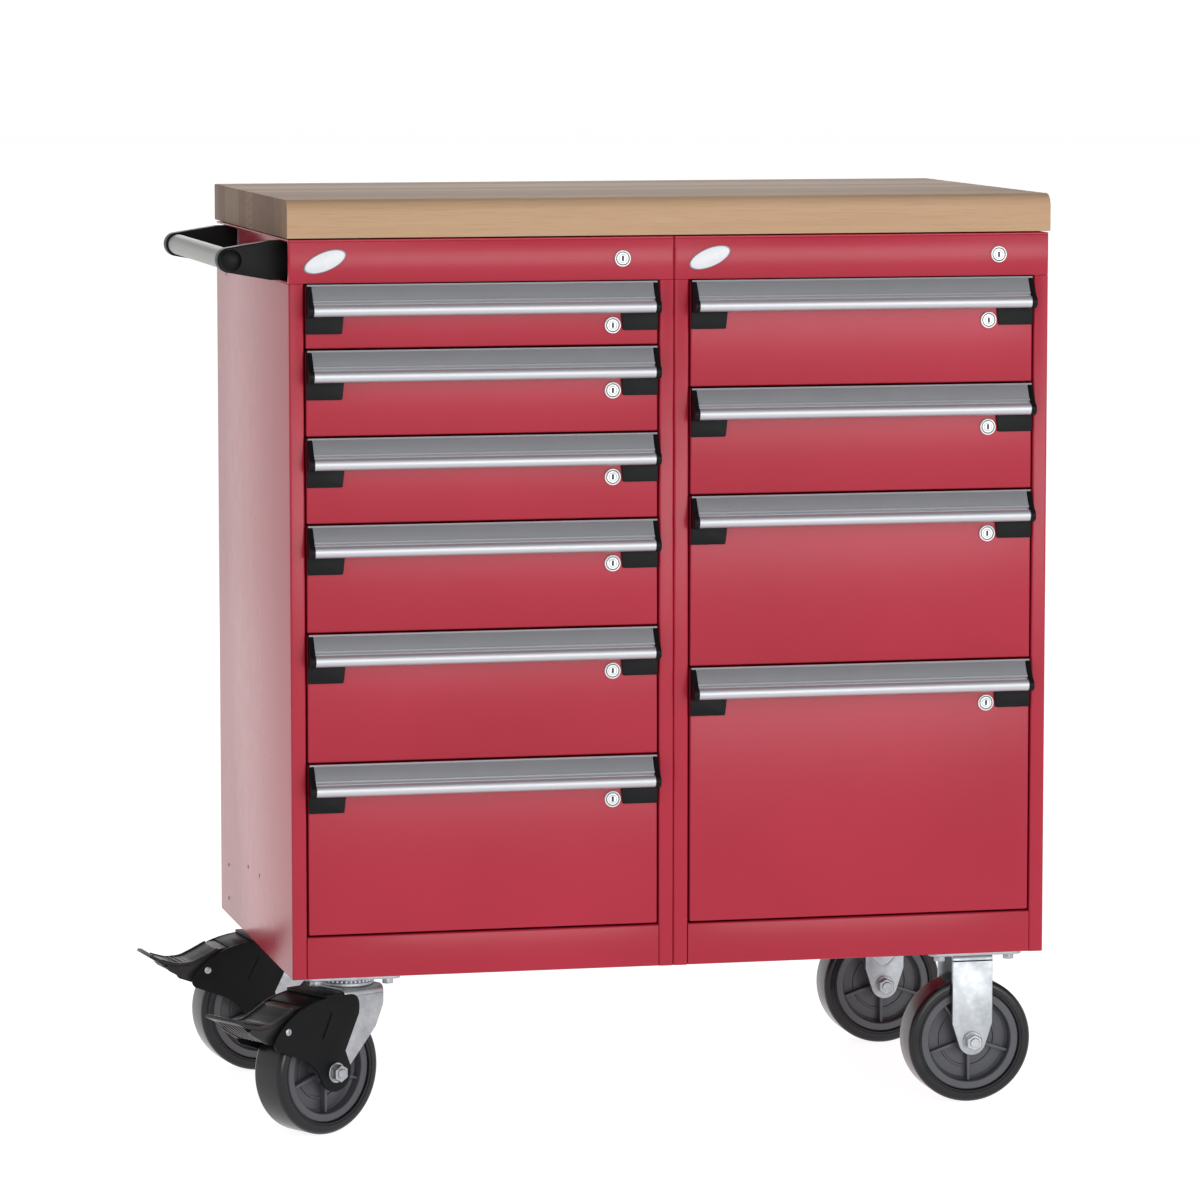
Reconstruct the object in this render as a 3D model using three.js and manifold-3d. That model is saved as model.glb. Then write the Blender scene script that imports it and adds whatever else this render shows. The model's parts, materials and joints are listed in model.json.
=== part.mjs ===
// Rolling tool chest: two drawer cabinets side by side under one wooden work top, on four casters.
// Units are millimetres. X runs to the right, Y to the back and Z up. While it is being built the
// chest stands with the front left bottom corner of its steel housing at zero; the last lines move
// it so that the middle of everything's footprint, at floor level, is the origin.
import * as THREE from 'three';
import { mergeVertices } from 'three/addons/utils/BufferGeometryUtils.js';
import Module from 'manifold-3d';

const wasm = await Module();
wasm.setup();

// ---------------------------------------------------------------- driving dimensions
const INCH = 25.4;
const GAP = 0.3; // between pieces that rest against each other
const SHEET = 1.5; // steel sheet
const SLIVER = 0.01; // edges shorter than this are closed up

const CABINET_WIDTH = 18 * INCH;
const HOUSING_DEPTH = 21 * INCH;
const BASE_RAIL_HEIGHT = 2 * INCH;
const DRAWER_ZONE = 30 * INCH; // height that the drawers of one cabinet share
const TOP_RAIL_HEIGHT = 2 * INCH;
const POST_WIDTH = 17.5;
const POST_DEPTH = 24;
const UPRIGHT_WIDTH = 30; // inner uprights that carry the slides
const UPRIGHT_INSET = 34; // from the front and from the back
const RAIL_RECESS = 15; // how far the top rail's sides are set in under its flange
const RAIL_RETURN = 9; // depth of the rail's front corners beside the recess
const FLANGE = 2.5; // thickness of the top rail's upper plate

const TOP_THICKNESS = 1.75 * INCH;
const TOP_OVERHANG_SIDE = 1.8;
const TOP_OVERHANG_FRONT = 1.5;
const TOP_EDGE_RADIUS = 15;
const TOP_SPACER = 1.6; // slot between the housing and the work top

// Heights of the drawers from the top down; the lowest drawer takes what is left of the zone.
const LEFT_DRAWERS = [3 * INCH, 4 * INCH, 4 * INCH, 5 * INCH, 6 * INCH];
const RIGHT_DRAWERS = [5 * INCH, 5 * INCH, 8 * INCH];

const FRONT_GAP = 2.3; // around each drawer front
const FRONT_DEPTH = 18; // depth of the folded drawer front
const FRONT_LIP = 10; // depth of its lower fold
const TRAY_SIDE_GAP = 35; // from the cabinet's outer side to the tray
const TRAY_DEPTH = 18 * INCH;
const TRAY_TOP_GAP = 16; // tray side below the top of its front
const TRAY_FLOOR_GAP = 8; // tray floor above the bottom of its front
const SLIDE_HEIGHT = 26;
const SLIDE_SPACE = 9; // for the middle member between the fixed and the moving member
const MOVING_MEMBER = 4;
const FIXED_MEMBER = 2;
const SLIDE_FRONT = 28; // front end of the slide from the front of the housing

const PULL_DROP = 23.5; // height of the slanted label face
const PULL_REACH = 14.5; // how far that face leans out
const PULL_WALL = 2;
const PULL_LEG = 14; // back leg that is fastened to the drawer front
const LIP_RADIUS = 5.5; // rounded finger lip
const LIP_DROP = 30.5; // centre of the lip below the top of the pull
const PULL_END = 6.5; // end caps
const TAB_WIDTH = 44.5;
const TAB_TAPER = 2.5;
const TAB_DROP = 57;
const TAB_THICKNESS = 3;

const LOCK_FROM_SIDE = 74;
const LOCK_DROP = 51;
const MAIN_LOCK_FROM_SIDE = 62;
const LOCK_RADIUS = 9.75;
const PLUG_RADIUS = 4.6;
const PLUG_CLEARANCE = 0.3;
const LOCK_PROUD = 2;
const LOCK_BODY = 10; // length of the lock body behind the sheet's front face
const CAM_LENGTH = 17;
const CAM_WIDTH = 9;
const CAM_THICKNESS = 2;
const KEY_SLOT = [1.4, 5.6, 3]; // width, height, depth

const PLATE_SIZE = [52, 30, 1.2]; // name plate: width, height, thickness
const PLATE_FROM_SIDE = 42.5;

const HANDLE_OUT = 59; // tube axis from the housing's side
const HANDLE_TUBE_RADIUS = 12.3;
const HANDLE_TUBE_WALL = 2;
const HANDLE_ARM = 22; // width of one arm along the tube
const HANDLE_INSET = 53; // front arm from the front of the housing
const HANDLE_SOCKET = 12;
const HANDLE_END_RADIUS = 15;
const HANDLE_DOME = 7;

const WHEEL_RADIUS = 3 * INCH;
const CASTER_HEIGHT = 2 * WHEEL_RADIUS + 1.5 * INCH;
const CASTER_SCALE = WHEEL_RADIUS / 76.2; // the brake's outlines are drawn for a 76.2 mm wheel
const WHEEL_WIDTH = 50;
const HUB_LENGTH = 55;
const HUB_RADIUS = 15;
const DISH_RADIUS = 0.67 * WHEEL_RADIUS;
const RIM_RADIUS = 0.8 * WHEEL_RADIUS;
const TREAD_SHOULDER = 9;
const SPOKES = 5;
const MOUNT_PLATE = [4.5 * INCH, 4 * INCH, 6]; // length, width, thickness
const MOUNT_BOLT_RADIUS = 5.2;
const MOUNT_BOLT_INSET = 14;
const CASTER_INSET_SIDE = 19;
const CASTER_INSET_FRONT = 20;
const RACE_RADIUS = 33;
const RACE_HEIGHT = 5.5;
const KINGPIN_RADIUS = 7;
const FORK_WALL = 5;
const FORK_CLEARANCE = 0.8; // between the hub and each leg
const RIGID_FORK_WIDTH = 50;
const LEG_LOBE_RADIUS = 17;
const AXLE_RADIUS = 6;
const AXLE_CLEARANCE = 0.3;
const NUT_RADIUS = 10.4;
const NUT_HEIGHT = 9;
const WASHER_RADIUS = 12;
const WASHER_THICKNESS = 2;
const TRAIL = 47 * CASTER_SCALE; // swivel axis to wheel axle
const FRONT_SWIVEL = 30; // degrees that the front swivel caster stands turned
const REAR_SWIVEL = 8;
const COVER_WALL = 3;
const PEDAL_WIDTH = 56;
const PEDAL_WALL = 3.5;
const RIVET = [-72 * CASTER_SCALE, 57 * CASTER_SCALE]; // pedal pivot from the wheel's centre
const RIVET_RADIUS = 4;

const HOUSING_SIDE_HEIGHT = BASE_RAIL_HEIGHT + DRAWER_ZONE;
const HOUSING_HEIGHT = HOUSING_SIDE_HEIGHT + TOP_RAIL_HEIGHT;
const HOUSING_WIDTH = 2 * CABINET_WIDTH;
const SEAM = GAP; // between the two cabinets

// ---------------------------------------------------------------- solids
function solidOf(geometry) {
  const plain = geometry.index ? geometry.clone() : geometry;
  plain.deleteAttribute('normal');
  plain.deleteAttribute('uv');
  const merged = mergeVertices(plain, 1e-4);
  const mesh = new wasm.Mesh({
    numProp: 3,
    vertProperties: new Float32Array(merged.attributes.position.array),
    triVerts: new Uint32Array(merged.index.array),
  });
  return new wasm.Manifold(mesh);
}

// The mesh of a solid, without the slivers that cuts and joins leave along shared planes.
function geometryOf(solid) {
  const mesh = solid.asOriginal().simplify(SLIVER).getMesh();
  const geometry = new THREE.BufferGeometry();
  geometry.setAttribute('position', new THREE.BufferAttribute(mesh.vertProperties, 3));
  geometry.setIndex(new THREE.BufferAttribute(mesh.triVerts, 1));
  geometry.computeVertexNormals();
  return geometry;
}

function join(...solids) {
  return solids.flat().reduce((sum, next) => sum.add(next));
}

function cut(solid, ...tools) {
  return tools.flat().reduce((rest, tool) => rest.subtract(tool), solid);
}

// A box given by its lowest and highest X, Y and Z. Its corners are set to those very numbers,
// so that walls which share a plane meet exactly.
function block(x0, x1, y0, y1, z0, z1) {
  const geometry = new THREE.BoxGeometry(1, 1, 1);
  const corner = geometry.attributes.position;
  for (let i = 0; i < corner.count; i += 1) {
    const x = corner.getX(i) < 0 ? x0 : x1;
    const y = corner.getY(i) < 0 ? y0 : y1;
    const z = corner.getZ(i) < 0 ? z0 : z1;
    corner.setXYZ(i, x, y, z);
  }
  return solidOf(geometry);
}

function outline(points) {
  return new THREE.Shape(points.map(([u, v]) => new THREE.Vector2(u, v)));
}

function extrude(shape, length) {
  return new THREE.ExtrudeGeometry(shape, { depth: length, bevelEnabled: false, curveSegments: 6 });
}

// Extrudes an outline drawn in Y and Z along X.
function prismX(shape, x0, x1) {
  const geometry = extrude(shape, x1 - x0);
  const toX = new THREE.Matrix4().makeBasis(
    new THREE.Vector3(0, 1, 0), new THREE.Vector3(0, 0, 1), new THREE.Vector3(1, 0, 0));
  geometry.applyMatrix4(toX).translate(x0, 0, 0);
  return solidOf(geometry);
}

// Extrudes an outline drawn in X and Z along Y.
function prismY(shape, y0, y1) {
  const geometry = extrude(shape, y1 - y0);
  const toY = new THREE.Matrix4().makeBasis(
    new THREE.Vector3(1, 0, 0), new THREE.Vector3(0, 0, 1), new THREE.Vector3(0, -1, 0));
  geometry.applyMatrix4(toY).translate(0, y1, 0);
  return solidOf(geometry);
}

// A round bar along Y between y0 and y1, centred on x and z.
function rodY(radius, y0, y1, x = 0, z = 0, sides = 16) {
  const geometry = new THREE.CylinderGeometry(radius, radius, y1 - y0, sides);
  geometry.translate(x, (y0 + y1) / 2, z);
  return solidOf(geometry);
}

function rodZ(radius, z0, z1, x = 0, y = 0, sides = 24) {
  const geometry = new THREE.CylinderGeometry(radius, radius, z1 - z0, sides);
  geometry.rotateX(Math.PI / 2).translate(x, y, (z0 + z1) / 2);
  return solidOf(geometry);
}

// Turns a profile of radius and height round the Y axis.
function latheY(profile, sides) {
  const points = profile.map(([r, y]) => new THREE.Vector2(r, y));
  return solidOf(new THREE.LatheGeometry(points, sides));
}

function material(color, roughness, metalness) {
  return new THREE.MeshStandardMaterial({ color, roughness, metalness });
}

const red = () => material(0xb03a47, 0.4, 0.1);
const wood = () => material(0xb99c7e, 0.55, 0);
const aluminium = () => material(0x9a9ca2, 0.35, 0.9);
const blackPlastic = () => material(0x1c1d20, 0.5, 0);
const zinc = () => material(0xb4b8bc, 0.3, 0.9);
const steel = () => material(0xc9ccd0, 0.25, 0.95);
const tyre = () => material(0x26272b, 0.55, 0);
const white = () => material(0xe6e8ea, 0.35, 0);

function piece(name, solid, finish, place = [0, 0, 0]) {
  const mesh = new THREE.Mesh(geometryOf(solid), finish);
  mesh.name = name;
  mesh.position.set(...place);
  return mesh;
}

// ---------------------------------------------------------------- housing
function drawerHeights(upper) {
  const used = upper.reduce((sum, height) => sum + height, 0);
  return [...upper, DRAWER_ZONE - used];
}

// Bottom heights and sizes of the drawer places of one cabinet, from the top down.
function drawerPlaces(upper) {
  let top = HOUSING_SIDE_HEIGHT;
  return drawerHeights(upper).map((height) => {
    top -= height;
    return { bottom: top, height };
  });
}

const SHELL_WIDTH = CABINET_WIDTH - SEAM;
const MEMBER_OUTER = TRAY_SIDE_GAP - MOVING_MEMBER - SLIDE_SPACE; // fixed member's inner face
const TRAY_FRONT = FRONT_DEPTH - SHEET;
const TRAY_BACK = TRAY_FRONT + TRAY_DEPTH;

function slideBottom(place) {
  return place.bottom + TRAY_FLOOR_GAP + 4;
}

// One side of a cabinet: wall, folded front post, two uprights and the fixed slide members.
function shellSide(places) {
  const inner = MEMBER_OUTER - FIXED_MEMBER;
  const backUpright = HOUSING_DEPTH - UPRIGHT_INSET - UPRIGHT_WIDTH;
  const uprightTop = HOUSING_SIDE_HEIGHT - 10;
  const parts = [
    block(0, SHEET, 0, HOUSING_DEPTH, 0, HOUSING_SIDE_HEIGHT),
    block(0, POST_WIDTH, 0, SHEET, 0, HOUSING_SIDE_HEIGHT),
    block(POST_WIDTH - SHEET, POST_WIDTH, 0, POST_DEPTH, 0, HOUSING_SIDE_HEIGHT),
  ];
  for (const y of [UPRIGHT_INSET, backUpright]) {
    parts.push(block(0, inner, y, y + SHEET, 0, uprightTop));
    parts.push(block(0, inner, y + UPRIGHT_WIDTH - SHEET, y + UPRIGHT_WIDTH, 0, uprightTop));
    parts.push(block(inner - SHEET, inner, y, y + UPRIGHT_WIDTH, 0, uprightTop));
  }
  for (const place of places) {
    const z = slideBottom(place);
    parts.push(block(inner - SHEET, MEMBER_OUTER, SLIDE_FRONT, backUpright + UPRIGHT_WIDTH, z,
      z + SLIDE_HEIGHT));
  }
  return join(parts);
}

function cabinetShell(places) {
  const left = shellSide(places);
  const right = left.mirror([1, 0, 0]).translate([SHELL_WIDTH, 0, 0]);
  const sides = join(left, right);
  const back = block(0, SHELL_WIDTH, HOUSING_DEPTH - SHEET, HOUSING_DEPTH, 0, HOUSING_SIDE_HEIGHT);
  const floor = block(0, SHELL_WIDTH, 0, HOUSING_DEPTH, 0, SHEET);
  const rail = block(0, SHELL_WIDTH, 0, SHEET, 0, BASE_RAIL_HEIGHT - FRONT_GAP / 2);
  const railTop = BASE_RAIL_HEIGHT - FRONT_GAP / 2;
  const railFold = block(0, SHELL_WIDTH, 0, POST_DEPTH, railTop - SHEET, railTop);
  return join(sides, back, floor, rail, railFold);
}

const RAIL_BOTTOM = HOUSING_SIDE_HEIGHT + GAP;
const RAIL_TOP = HOUSING_HEIGHT;
const RAIL_MIDDLE = (RAIL_BOTTOM + RAIL_TOP) / 2;

// The rail round the top of a cabinet. Its sides are set in under the upper plate, which leaves
// the channel that the push handle is bolted into.
function topRail() {
  const w = SHELL_WIDTH;
  const z0 = RAIL_BOTTOM;
  const z1 = RAIL_TOP;
  const parts = [
    block(0, w, 0, SHEET, z0, z1),
    block(0, w, 0, HOUSING_DEPTH, z1 - FLANGE, z1),
    block(0, w, HOUSING_DEPTH - SHEET, HOUSING_DEPTH, z0, z1),
    block(0, w, 0, POST_DEPTH, z0, z0 + SHEET),
  ];
  const side = join(
    block(0, SHEET, 0, RAIL_RETURN, z0, z1),
    block(RAIL_RECESS, RAIL_RECESS + SHEET, 0, HOUSING_DEPTH, z0, z1),
    block(0, RAIL_RECESS + SHEET, 0, HOUSING_DEPTH, z0, z0 + SHEET),
  );
  parts.push(side, side.mirror([1, 0, 0]).translate([w, 0, 0]));
  const lock = lockBody().translate([w - MAIN_LOCK_FROM_SIDE, 0, RAIL_MIDDLE]);
  return cut(join(...parts, lock), lockBore().translate([w - MAIN_LOCK_FROM_SIDE, 0, RAIL_MIDDLE]));
}

function workTop() {
  const y0 = -TOP_OVERHANG_FRONT;
  const z1 = TOP_THICKNESS;
  const section = new THREE.Shape();
  section.moveTo(y0, 0);
  section.lineTo(HOUSING_DEPTH, 0);
  section.lineTo(HOUSING_DEPTH, z1);
  section.lineTo(y0 + TOP_EDGE_RADIUS, z1);
  section.absarc(y0 + TOP_EDGE_RADIUS, z1 - TOP_EDGE_RADIUS, TOP_EDGE_RADIUS, Math.PI / 2, Math.PI);
  return prismX(section, -TOP_OVERHANG_SIDE, HOUSING_WIDTH + TOP_OVERHANG_SIDE);
}

// ---------------------------------------------------------------- locks
// All lock pieces are built round a plug axis along Y, with the sheet's front face at y = 0.
function lockBody() {
  return rodY(LOCK_RADIUS, -LOCK_PROUD, LOCK_BODY);
}

function lockBore() {
  return rodY(PLUG_RADIUS + PLUG_CLEARANCE, -LOCK_PROUD - 1, LOCK_BODY + 1, 0, 0, 12);
}

// The part of the lock that turns with the key, with its cam hanging down behind the sheet.
function lockPlug() {
  const back = LOCK_BODY + GAP + CAM_THICKNESS;
  const barrel = rodY(PLUG_RADIUS, -LOCK_PROUD - 0.4, back, 0, 0, 12);
  const cam = outline([
    [-CAM_WIDTH / 2, -CAM_LENGTH], [CAM_WIDTH / 2, -CAM_LENGTH],
    [CAM_WIDTH / 2, PLUG_RADIUS], [-CAM_WIDTH / 2, PLUG_RADIUS]]);
  const [w, h, d] = KEY_SLOT;
  const slot = block(-w / 2, w / 2, -LOCK_PROUD - 1, -LOCK_PROUD - 0.4 + d, -h / 2, h / 2);
  return cut(join(barrel, prismY(cam, LOCK_BODY + GAP, back)), slot);
}

// ---------------------------------------------------------------- drawers
const OPENING = SHELL_WIDTH - 2 * POST_WIDTH;
const FRONT_WIDTH = OPENING - 2 * FRONT_GAP;
const FRONT_LEFT = POST_WIDTH + FRONT_GAP;

// A drawer, standing with its place's left bottom corner at zero: folded front, tray, moving
// slide members and the lock body.
function drawer(height) {
  const x0 = FRONT_LEFT;
  const x1 = x0 + FRONT_WIDTH;
  const z0 = FRONT_GAP / 2;
  const z1 = height - FRONT_GAP / 2;
  const front = [
    block(x0, x1, 0, SHEET, z0, z1),
    block(x0, x1, 0, FRONT_DEPTH, z1 - SHEET, z1),
    block(x0, x1, 0, FRONT_LIP, z0, z0 + SHEET),
    block(x0, x0 + SHEET, 0, FRONT_DEPTH, z0, z1),
    block(x1 - SHEET, x1, 0, FRONT_DEPTH, z0, z1),
  ];
  const trayLeft = TRAY_SIDE_GAP;
  const trayRight = SHELL_WIDTH - TRAY_SIDE_GAP;
  const floor = z0 + TRAY_FLOOR_GAP;
  const rim = z1 - TRAY_TOP_GAP;
  const tray = [
    block(trayLeft, trayRight, TRAY_FRONT, TRAY_BACK, floor, floor + SHEET),
    block(trayLeft, trayLeft + SHEET, TRAY_FRONT, TRAY_BACK, floor, rim),
    block(trayRight - SHEET, trayRight, TRAY_FRONT, TRAY_BACK, floor, rim),
    block(trayLeft, trayRight, TRAY_BACK - SHEET, TRAY_BACK, floor, rim),
    block(trayLeft, trayRight, TRAY_FRONT, TRAY_FRONT + SHEET, floor, z1),
  ];
  const slide = slideBottom({ bottom: 0 });
  const members = [trayLeft - MOVING_MEMBER, trayRight - SHEET / 2].map((x) =>
    block(x, x + MOVING_MEMBER + SHEET / 2, SLIDE_FRONT, TRAY_BACK, slide, slide + SLIDE_HEIGHT));
  const lockPlace = [SHELL_WIDTH - LOCK_FROM_SIDE, 0, z1 - LOCK_DROP];
  const body = join(front, tray, members, lockBody().translate(lockPlace));
  return cut(body, lockBore().translate(lockPlace));
}

// The full-width pull, with its top at z = 0 and the drawer front at y = 0.
function pull() {
  const lean = PULL_REACH / PULL_DROP;
  const inner = PULL_WALL * Math.hypot(1, lean);
  const foot = -GAP - PULL_WALL;
  const lipY = foot - PULL_REACH - 0.5;
  const section = new THREE.Shape();
  section.moveTo(-GAP, 0);
  section.lineTo(foot, 0);
  section.lineTo(foot - PULL_REACH, -PULL_DROP);
  section.absarc(lipY, -LIP_DROP, LIP_RADIUS, 0.6 * Math.PI, 2.2 * Math.PI);
  section.lineTo(foot - PULL_REACH + inner, -PULL_DROP);
  section.lineTo(foot, -inner / lean);
  section.lineTo(foot, -PULL_LEG);
  section.lineTo(-GAP, -PULL_LEG);
  const end = new THREE.Shape();
  end.moveTo(-GAP, 0.4);
  end.lineTo(foot - 0.4, 0.4);
  end.lineTo(foot - PULL_REACH - 1.2, -PULL_DROP);
  end.absarc(lipY, -LIP_DROP, LIP_RADIUS + 0.8, 0.9 * Math.PI, 1.55 * Math.PI);
  end.lineTo(-GAP - TAB_THICKNESS, -LIP_DROP - LIP_RADIUS - 0.8);
  end.lineTo(-GAP, -LIP_DROP - LIP_RADIUS - 0.8);
  const tab = outline([
    [0, -LIP_DROP], [TAB_WIDTH, -LIP_DROP], [TAB_WIDTH, -LIP_DROP - LIP_RADIUS],
    [TAB_WIDTH - TAB_TAPER, -TAB_DROP], [0, -TAB_DROP]]);
  const cap = join(prismX(end, 0, PULL_END), prismY(tab, -GAP - TAB_THICKNESS, -GAP));
  const farCap = cap.mirror([1, 0, 0]).translate([FRONT_WIDTH, 0, 0]);
  return join(prismX(section, 1, FRONT_WIDTH - 1), cap, farCap);
}

// ---------------------------------------------------------------- push handle
// An arm in the rail's channel, drawn round the tube axis; it spans y = 0 to HANDLE_ARM, and
// the tube enters it at y = HANDLE_ARM.
function handleBracket() {
  const rootX = HANDLE_OUT + RAIL_RECESS - GAP;
  const up = RAIL_TOP - FLANGE - GAP - RAIL_MIDDLE;
  const down = RAIL_BOTTOM + SHEET + GAP - RAIL_MIDDLE;
  const side = new THREE.Shape();
  side.moveTo(rootX, down);
  side.lineTo(rootX, up);
  side.lineTo(HANDLE_OUT - 12, up);
  side.absarc(0, 0, HANDLE_END_RADIUS, 0.62 * Math.PI, 1.38 * Math.PI);
  side.lineTo(HANDLE_OUT - 12, down);
  const dome = Array.from({ length: 4 }, (_, i) => {
    const turn = (i / 3) * (Math.PI / 2);
    return [HANDLE_END_RADIUS * 0.97 * Math.sin(turn), -HANDLE_DOME * Math.cos(turn)];
  });
  const domeProfile = [...dome, [HANDLE_END_RADIUS * 0.97, 2], [0, 2]];
  const socket = rodY(HANDLE_TUBE_RADIUS + GAP, HANDLE_ARM - HANDLE_SOCKET, HANDLE_ARM + 1);
  return cut(join(prismY(side, 0, HANDLE_ARM), latheY(domeProfile, 20)), socket);
}

const HANDLE_SPAN = HOUSING_DEPTH - 2 * HANDLE_INSET; // over the outer faces of both arms

function handleTube() {
  const outer = HANDLE_TUBE_RADIUS;
  const inner = outer - HANDLE_TUBE_WALL;
  const y0 = HANDLE_ARM - HANDLE_SOCKET + GAP;
  const y1 = HANDLE_SPAN - y0;
  return latheY([[inner, y0], [outer, y0], [outer, y1], [inner, y1], [inner, y0]], 24);
}

// ---------------------------------------------------------------- casters
// Caster pieces are drawn round the swivel axis, z = 0 at the top of the mounting plate, with
// the wheel's axle along Y and the trail towards -X.
const CASTER_TOP = -GAP;
const AXLE_Z = WHEEL_RADIUS - CASTER_HEIGHT - CASTER_TOP;
const LEG_INNER = HUB_LENGTH / 2 + FORK_CLEARANCE;
const LEG_OUTER = LEG_INNER + FORK_WALL;
const COVER_INNER = LEG_OUTER + GAP;
const COVER_OUTER = COVER_INNER + COVER_WALL;

function mountPlate() {
  const [length, width, thickness] = MOUNT_PLATE;
  const x = length / 2 - MOUNT_BOLT_INSET;
  const y = width / 2 - MOUNT_BOLT_INSET;
  const holes = [[x, y], [-x, y], [x, -y], [-x, -y]].map(([cx, cy]) =>
    rodZ(MOUNT_BOLT_RADIUS, -thickness - 1, 1, cx, cy, 8));
  return cut(block(-length / 2, length / 2, -width / 2, width / 2, -thickness, 0), holes);
}

function topPlate() {
  const thickness = MOUNT_PLATE[2];
  const race = rodZ(RACE_RADIUS, -thickness - RACE_HEIGHT, -thickness);
  const bore = rodZ(KINGPIN_RADIUS + GAP, -thickness - RACE_HEIGHT - 1, 1);
  return cut(join(mountPlate(), race), bore);
}

function legHole(y, x) {
  return rodY(AXLE_RADIUS + AXLE_CLEARANCE, y - 1, y + FORK_WALL + 1, x, AXLE_Z);
}

// Both legs of a fork: one outline extruded on each side of the wheel, drilled for the axle.
function forkLegs(side, axleX) {
  return [LEG_INNER, -LEG_OUTER].map((y) =>
    cut(prismY(side, y, y + FORK_WALL), legHole(y, axleX)));
}

function swivelFork() {
  const top = -MOUNT_PLATE[2] - RACE_HEIGHT - GAP;
  const crown = top - RACE_HEIGHT;
  const half = RACE_RADIUS - 3;
  const side = new THREE.Shape();
  side.moveTo(-half, crown);
  side.lineTo(-half, crown - 14);
  side.absarc(-TRAIL, AXLE_Z, LEG_LOBE_RADIUS, 0.92 * Math.PI, 1.88 * Math.PI);
  side.lineTo(half - 17, crown - 52);
  side.lineTo(half, crown - 22);
  side.lineTo(half, crown);
  const race = rodZ(RACE_RADIUS, crown, top);
  const web = block(-half, half, -LEG_OUTER, LEG_OUTER, crown - FORK_WALL, crown + 0.5);
  const kingpin = rodZ(KINGPIN_RADIUS, crown, -1);
  return join(race, web, kingpin, forkLegs(side, -TRAIL));
}

function rigidFork() {
  const bottom = -MOUNT_PLATE[2];
  const half = RIGID_FORK_WIDTH / 2;
  const side = new THREE.Shape();
  side.moveTo(-half, bottom + 1);
  side.lineTo(-half, AXLE_Z + 20);
  side.absarc(0, AXLE_Z, LEG_LOBE_RADIUS, 1.08 * Math.PI, 1.92 * Math.PI);
  side.lineTo(half, AXLE_Z + 20);
  side.lineTo(half, bottom + 1);
  const web = block(-half, half, -LEG_OUTER, LEG_OUTER, bottom - FORK_WALL, bottom + 0.5);
  return join(mountPlate(), web, forkLegs(side, 0));
}

// A wheel round the Y axis: tread with rounded shoulders, flat rim ring, dished web and hub.
function wheel() {
  const half = WHEEL_WIDTH / 2;
  const hub = HUB_LENGTH / 2;
  const dish = 8;
  const bore = AXLE_RADIUS + AXLE_CLEARANCE;
  const shoulder = Array.from({ length: 3 }, (_, i) => {
    const turn = (i / 2) * (Math.PI / 2);
    return [
      WHEEL_RADIUS - TREAD_SHOULDER * (1 - Math.sin(turn)),
      TREAD_SHOULDER * (1 - Math.cos(turn)) - half,
    ];
  });
  const lower = [
    [bore, -hub], [HUB_RADIUS, -hub], [HUB_RADIUS + 2, -dish], [DISH_RADIUS - 2, -dish],
    [DISH_RADIUS, 3 - half], [RIM_RADIUS, 3 - half], [RIM_RADIUS + 1, 1 - half], ...shoulder];
  const upper = lower.map(([r, y]) => [r, -y]).reverse();
  const turned = latheY([...lower, ...upper, lower[0]], 28);
  const spokes = Array.from({ length: SPOKES }, (_, i) => {
    const turn = (360 * i) / SPOKES + 18;
    const spoke = block(HUB_RADIUS, DISH_RADIUS - 0.5, -half + 8, half - 8, -2, 2);
    return spoke.rotate([0, turn, 0]);
  });
  return join(turned, spokes);
}

// Bolt, washers and nut through the fork; reach is the outer face that the washers bear on.
function axle(reach) {
  const washer = reach + GAP;
  const head = washer + WASHER_THICKNESS;
  const parts = [rodY(AXLE_RADIUS, -head - NUT_HEIGHT, head + NUT_HEIGHT + 2)];
  for (const side of [-1, 1]) {
    const ring = [side * washer, side * head].sort((a, b) => a - b);
    const nut = [side * (head - 0.2), side * (head + NUT_HEIGHT)].sort((a, b) => a - b);
    parts.push(rodY(WASHER_RADIUS, ...ring));
    parts.push(rodY(NUT_RADIUS, ...nut, 0, 0, 6));
  }
  return join(parts);
}

// Side outline of the brake cover, from the wheel's centre.
function coverOutline() {
  const side = new THREE.Shape();
  side.moveTo(15, 24);
  side.lineTo(36, 66);
  side.quadraticCurveTo(40, 90, 24, 90);
  side.lineTo(-14, 90);
  side.quadraticCurveTo(-62, 84, -86, 56);
  side.quadraticCurveTo(-97, 44, -88, 36);
  side.lineTo(-50, 22);
  side.quadraticCurveTo(-28, 10, -23, -6);
  side.absarc(0, 0, 23, 1.08 * Math.PI, 2.1 * Math.PI);
  return side;
}

function brakeCover() {
  const side = coverOutline();
  const walls = [-COVER_OUTER, COVER_INNER].map((y) => prismY(side, y, y + COVER_WALL));
  const roof = outline([[15, 86.5], [15, 90], [-14, 90], [-30, 87], [-30, 84], [-14, 86.5]]);
  const saddle = block(-14, 12, -COVER_OUTER, COVER_OUTER, 89, 93.5);
  const axleHoles = rodY(AXLE_RADIUS + AXLE_CLEARANCE, -COVER_OUTER - 1, COVER_OUTER + 1);
  const rivetHoles = rodY(RIVET_RADIUS + GAP, -COVER_OUTER - 1, COVER_OUTER + 1, ...RIVET, 12);
  const cover = join(walls, prismY(roof, -COVER_OUTER, COVER_OUTER), saddle);
  return cut(cover.scale([CASTER_SCALE, 1, CASTER_SCALE]), axleHoles, rivetHoles);
}

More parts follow.
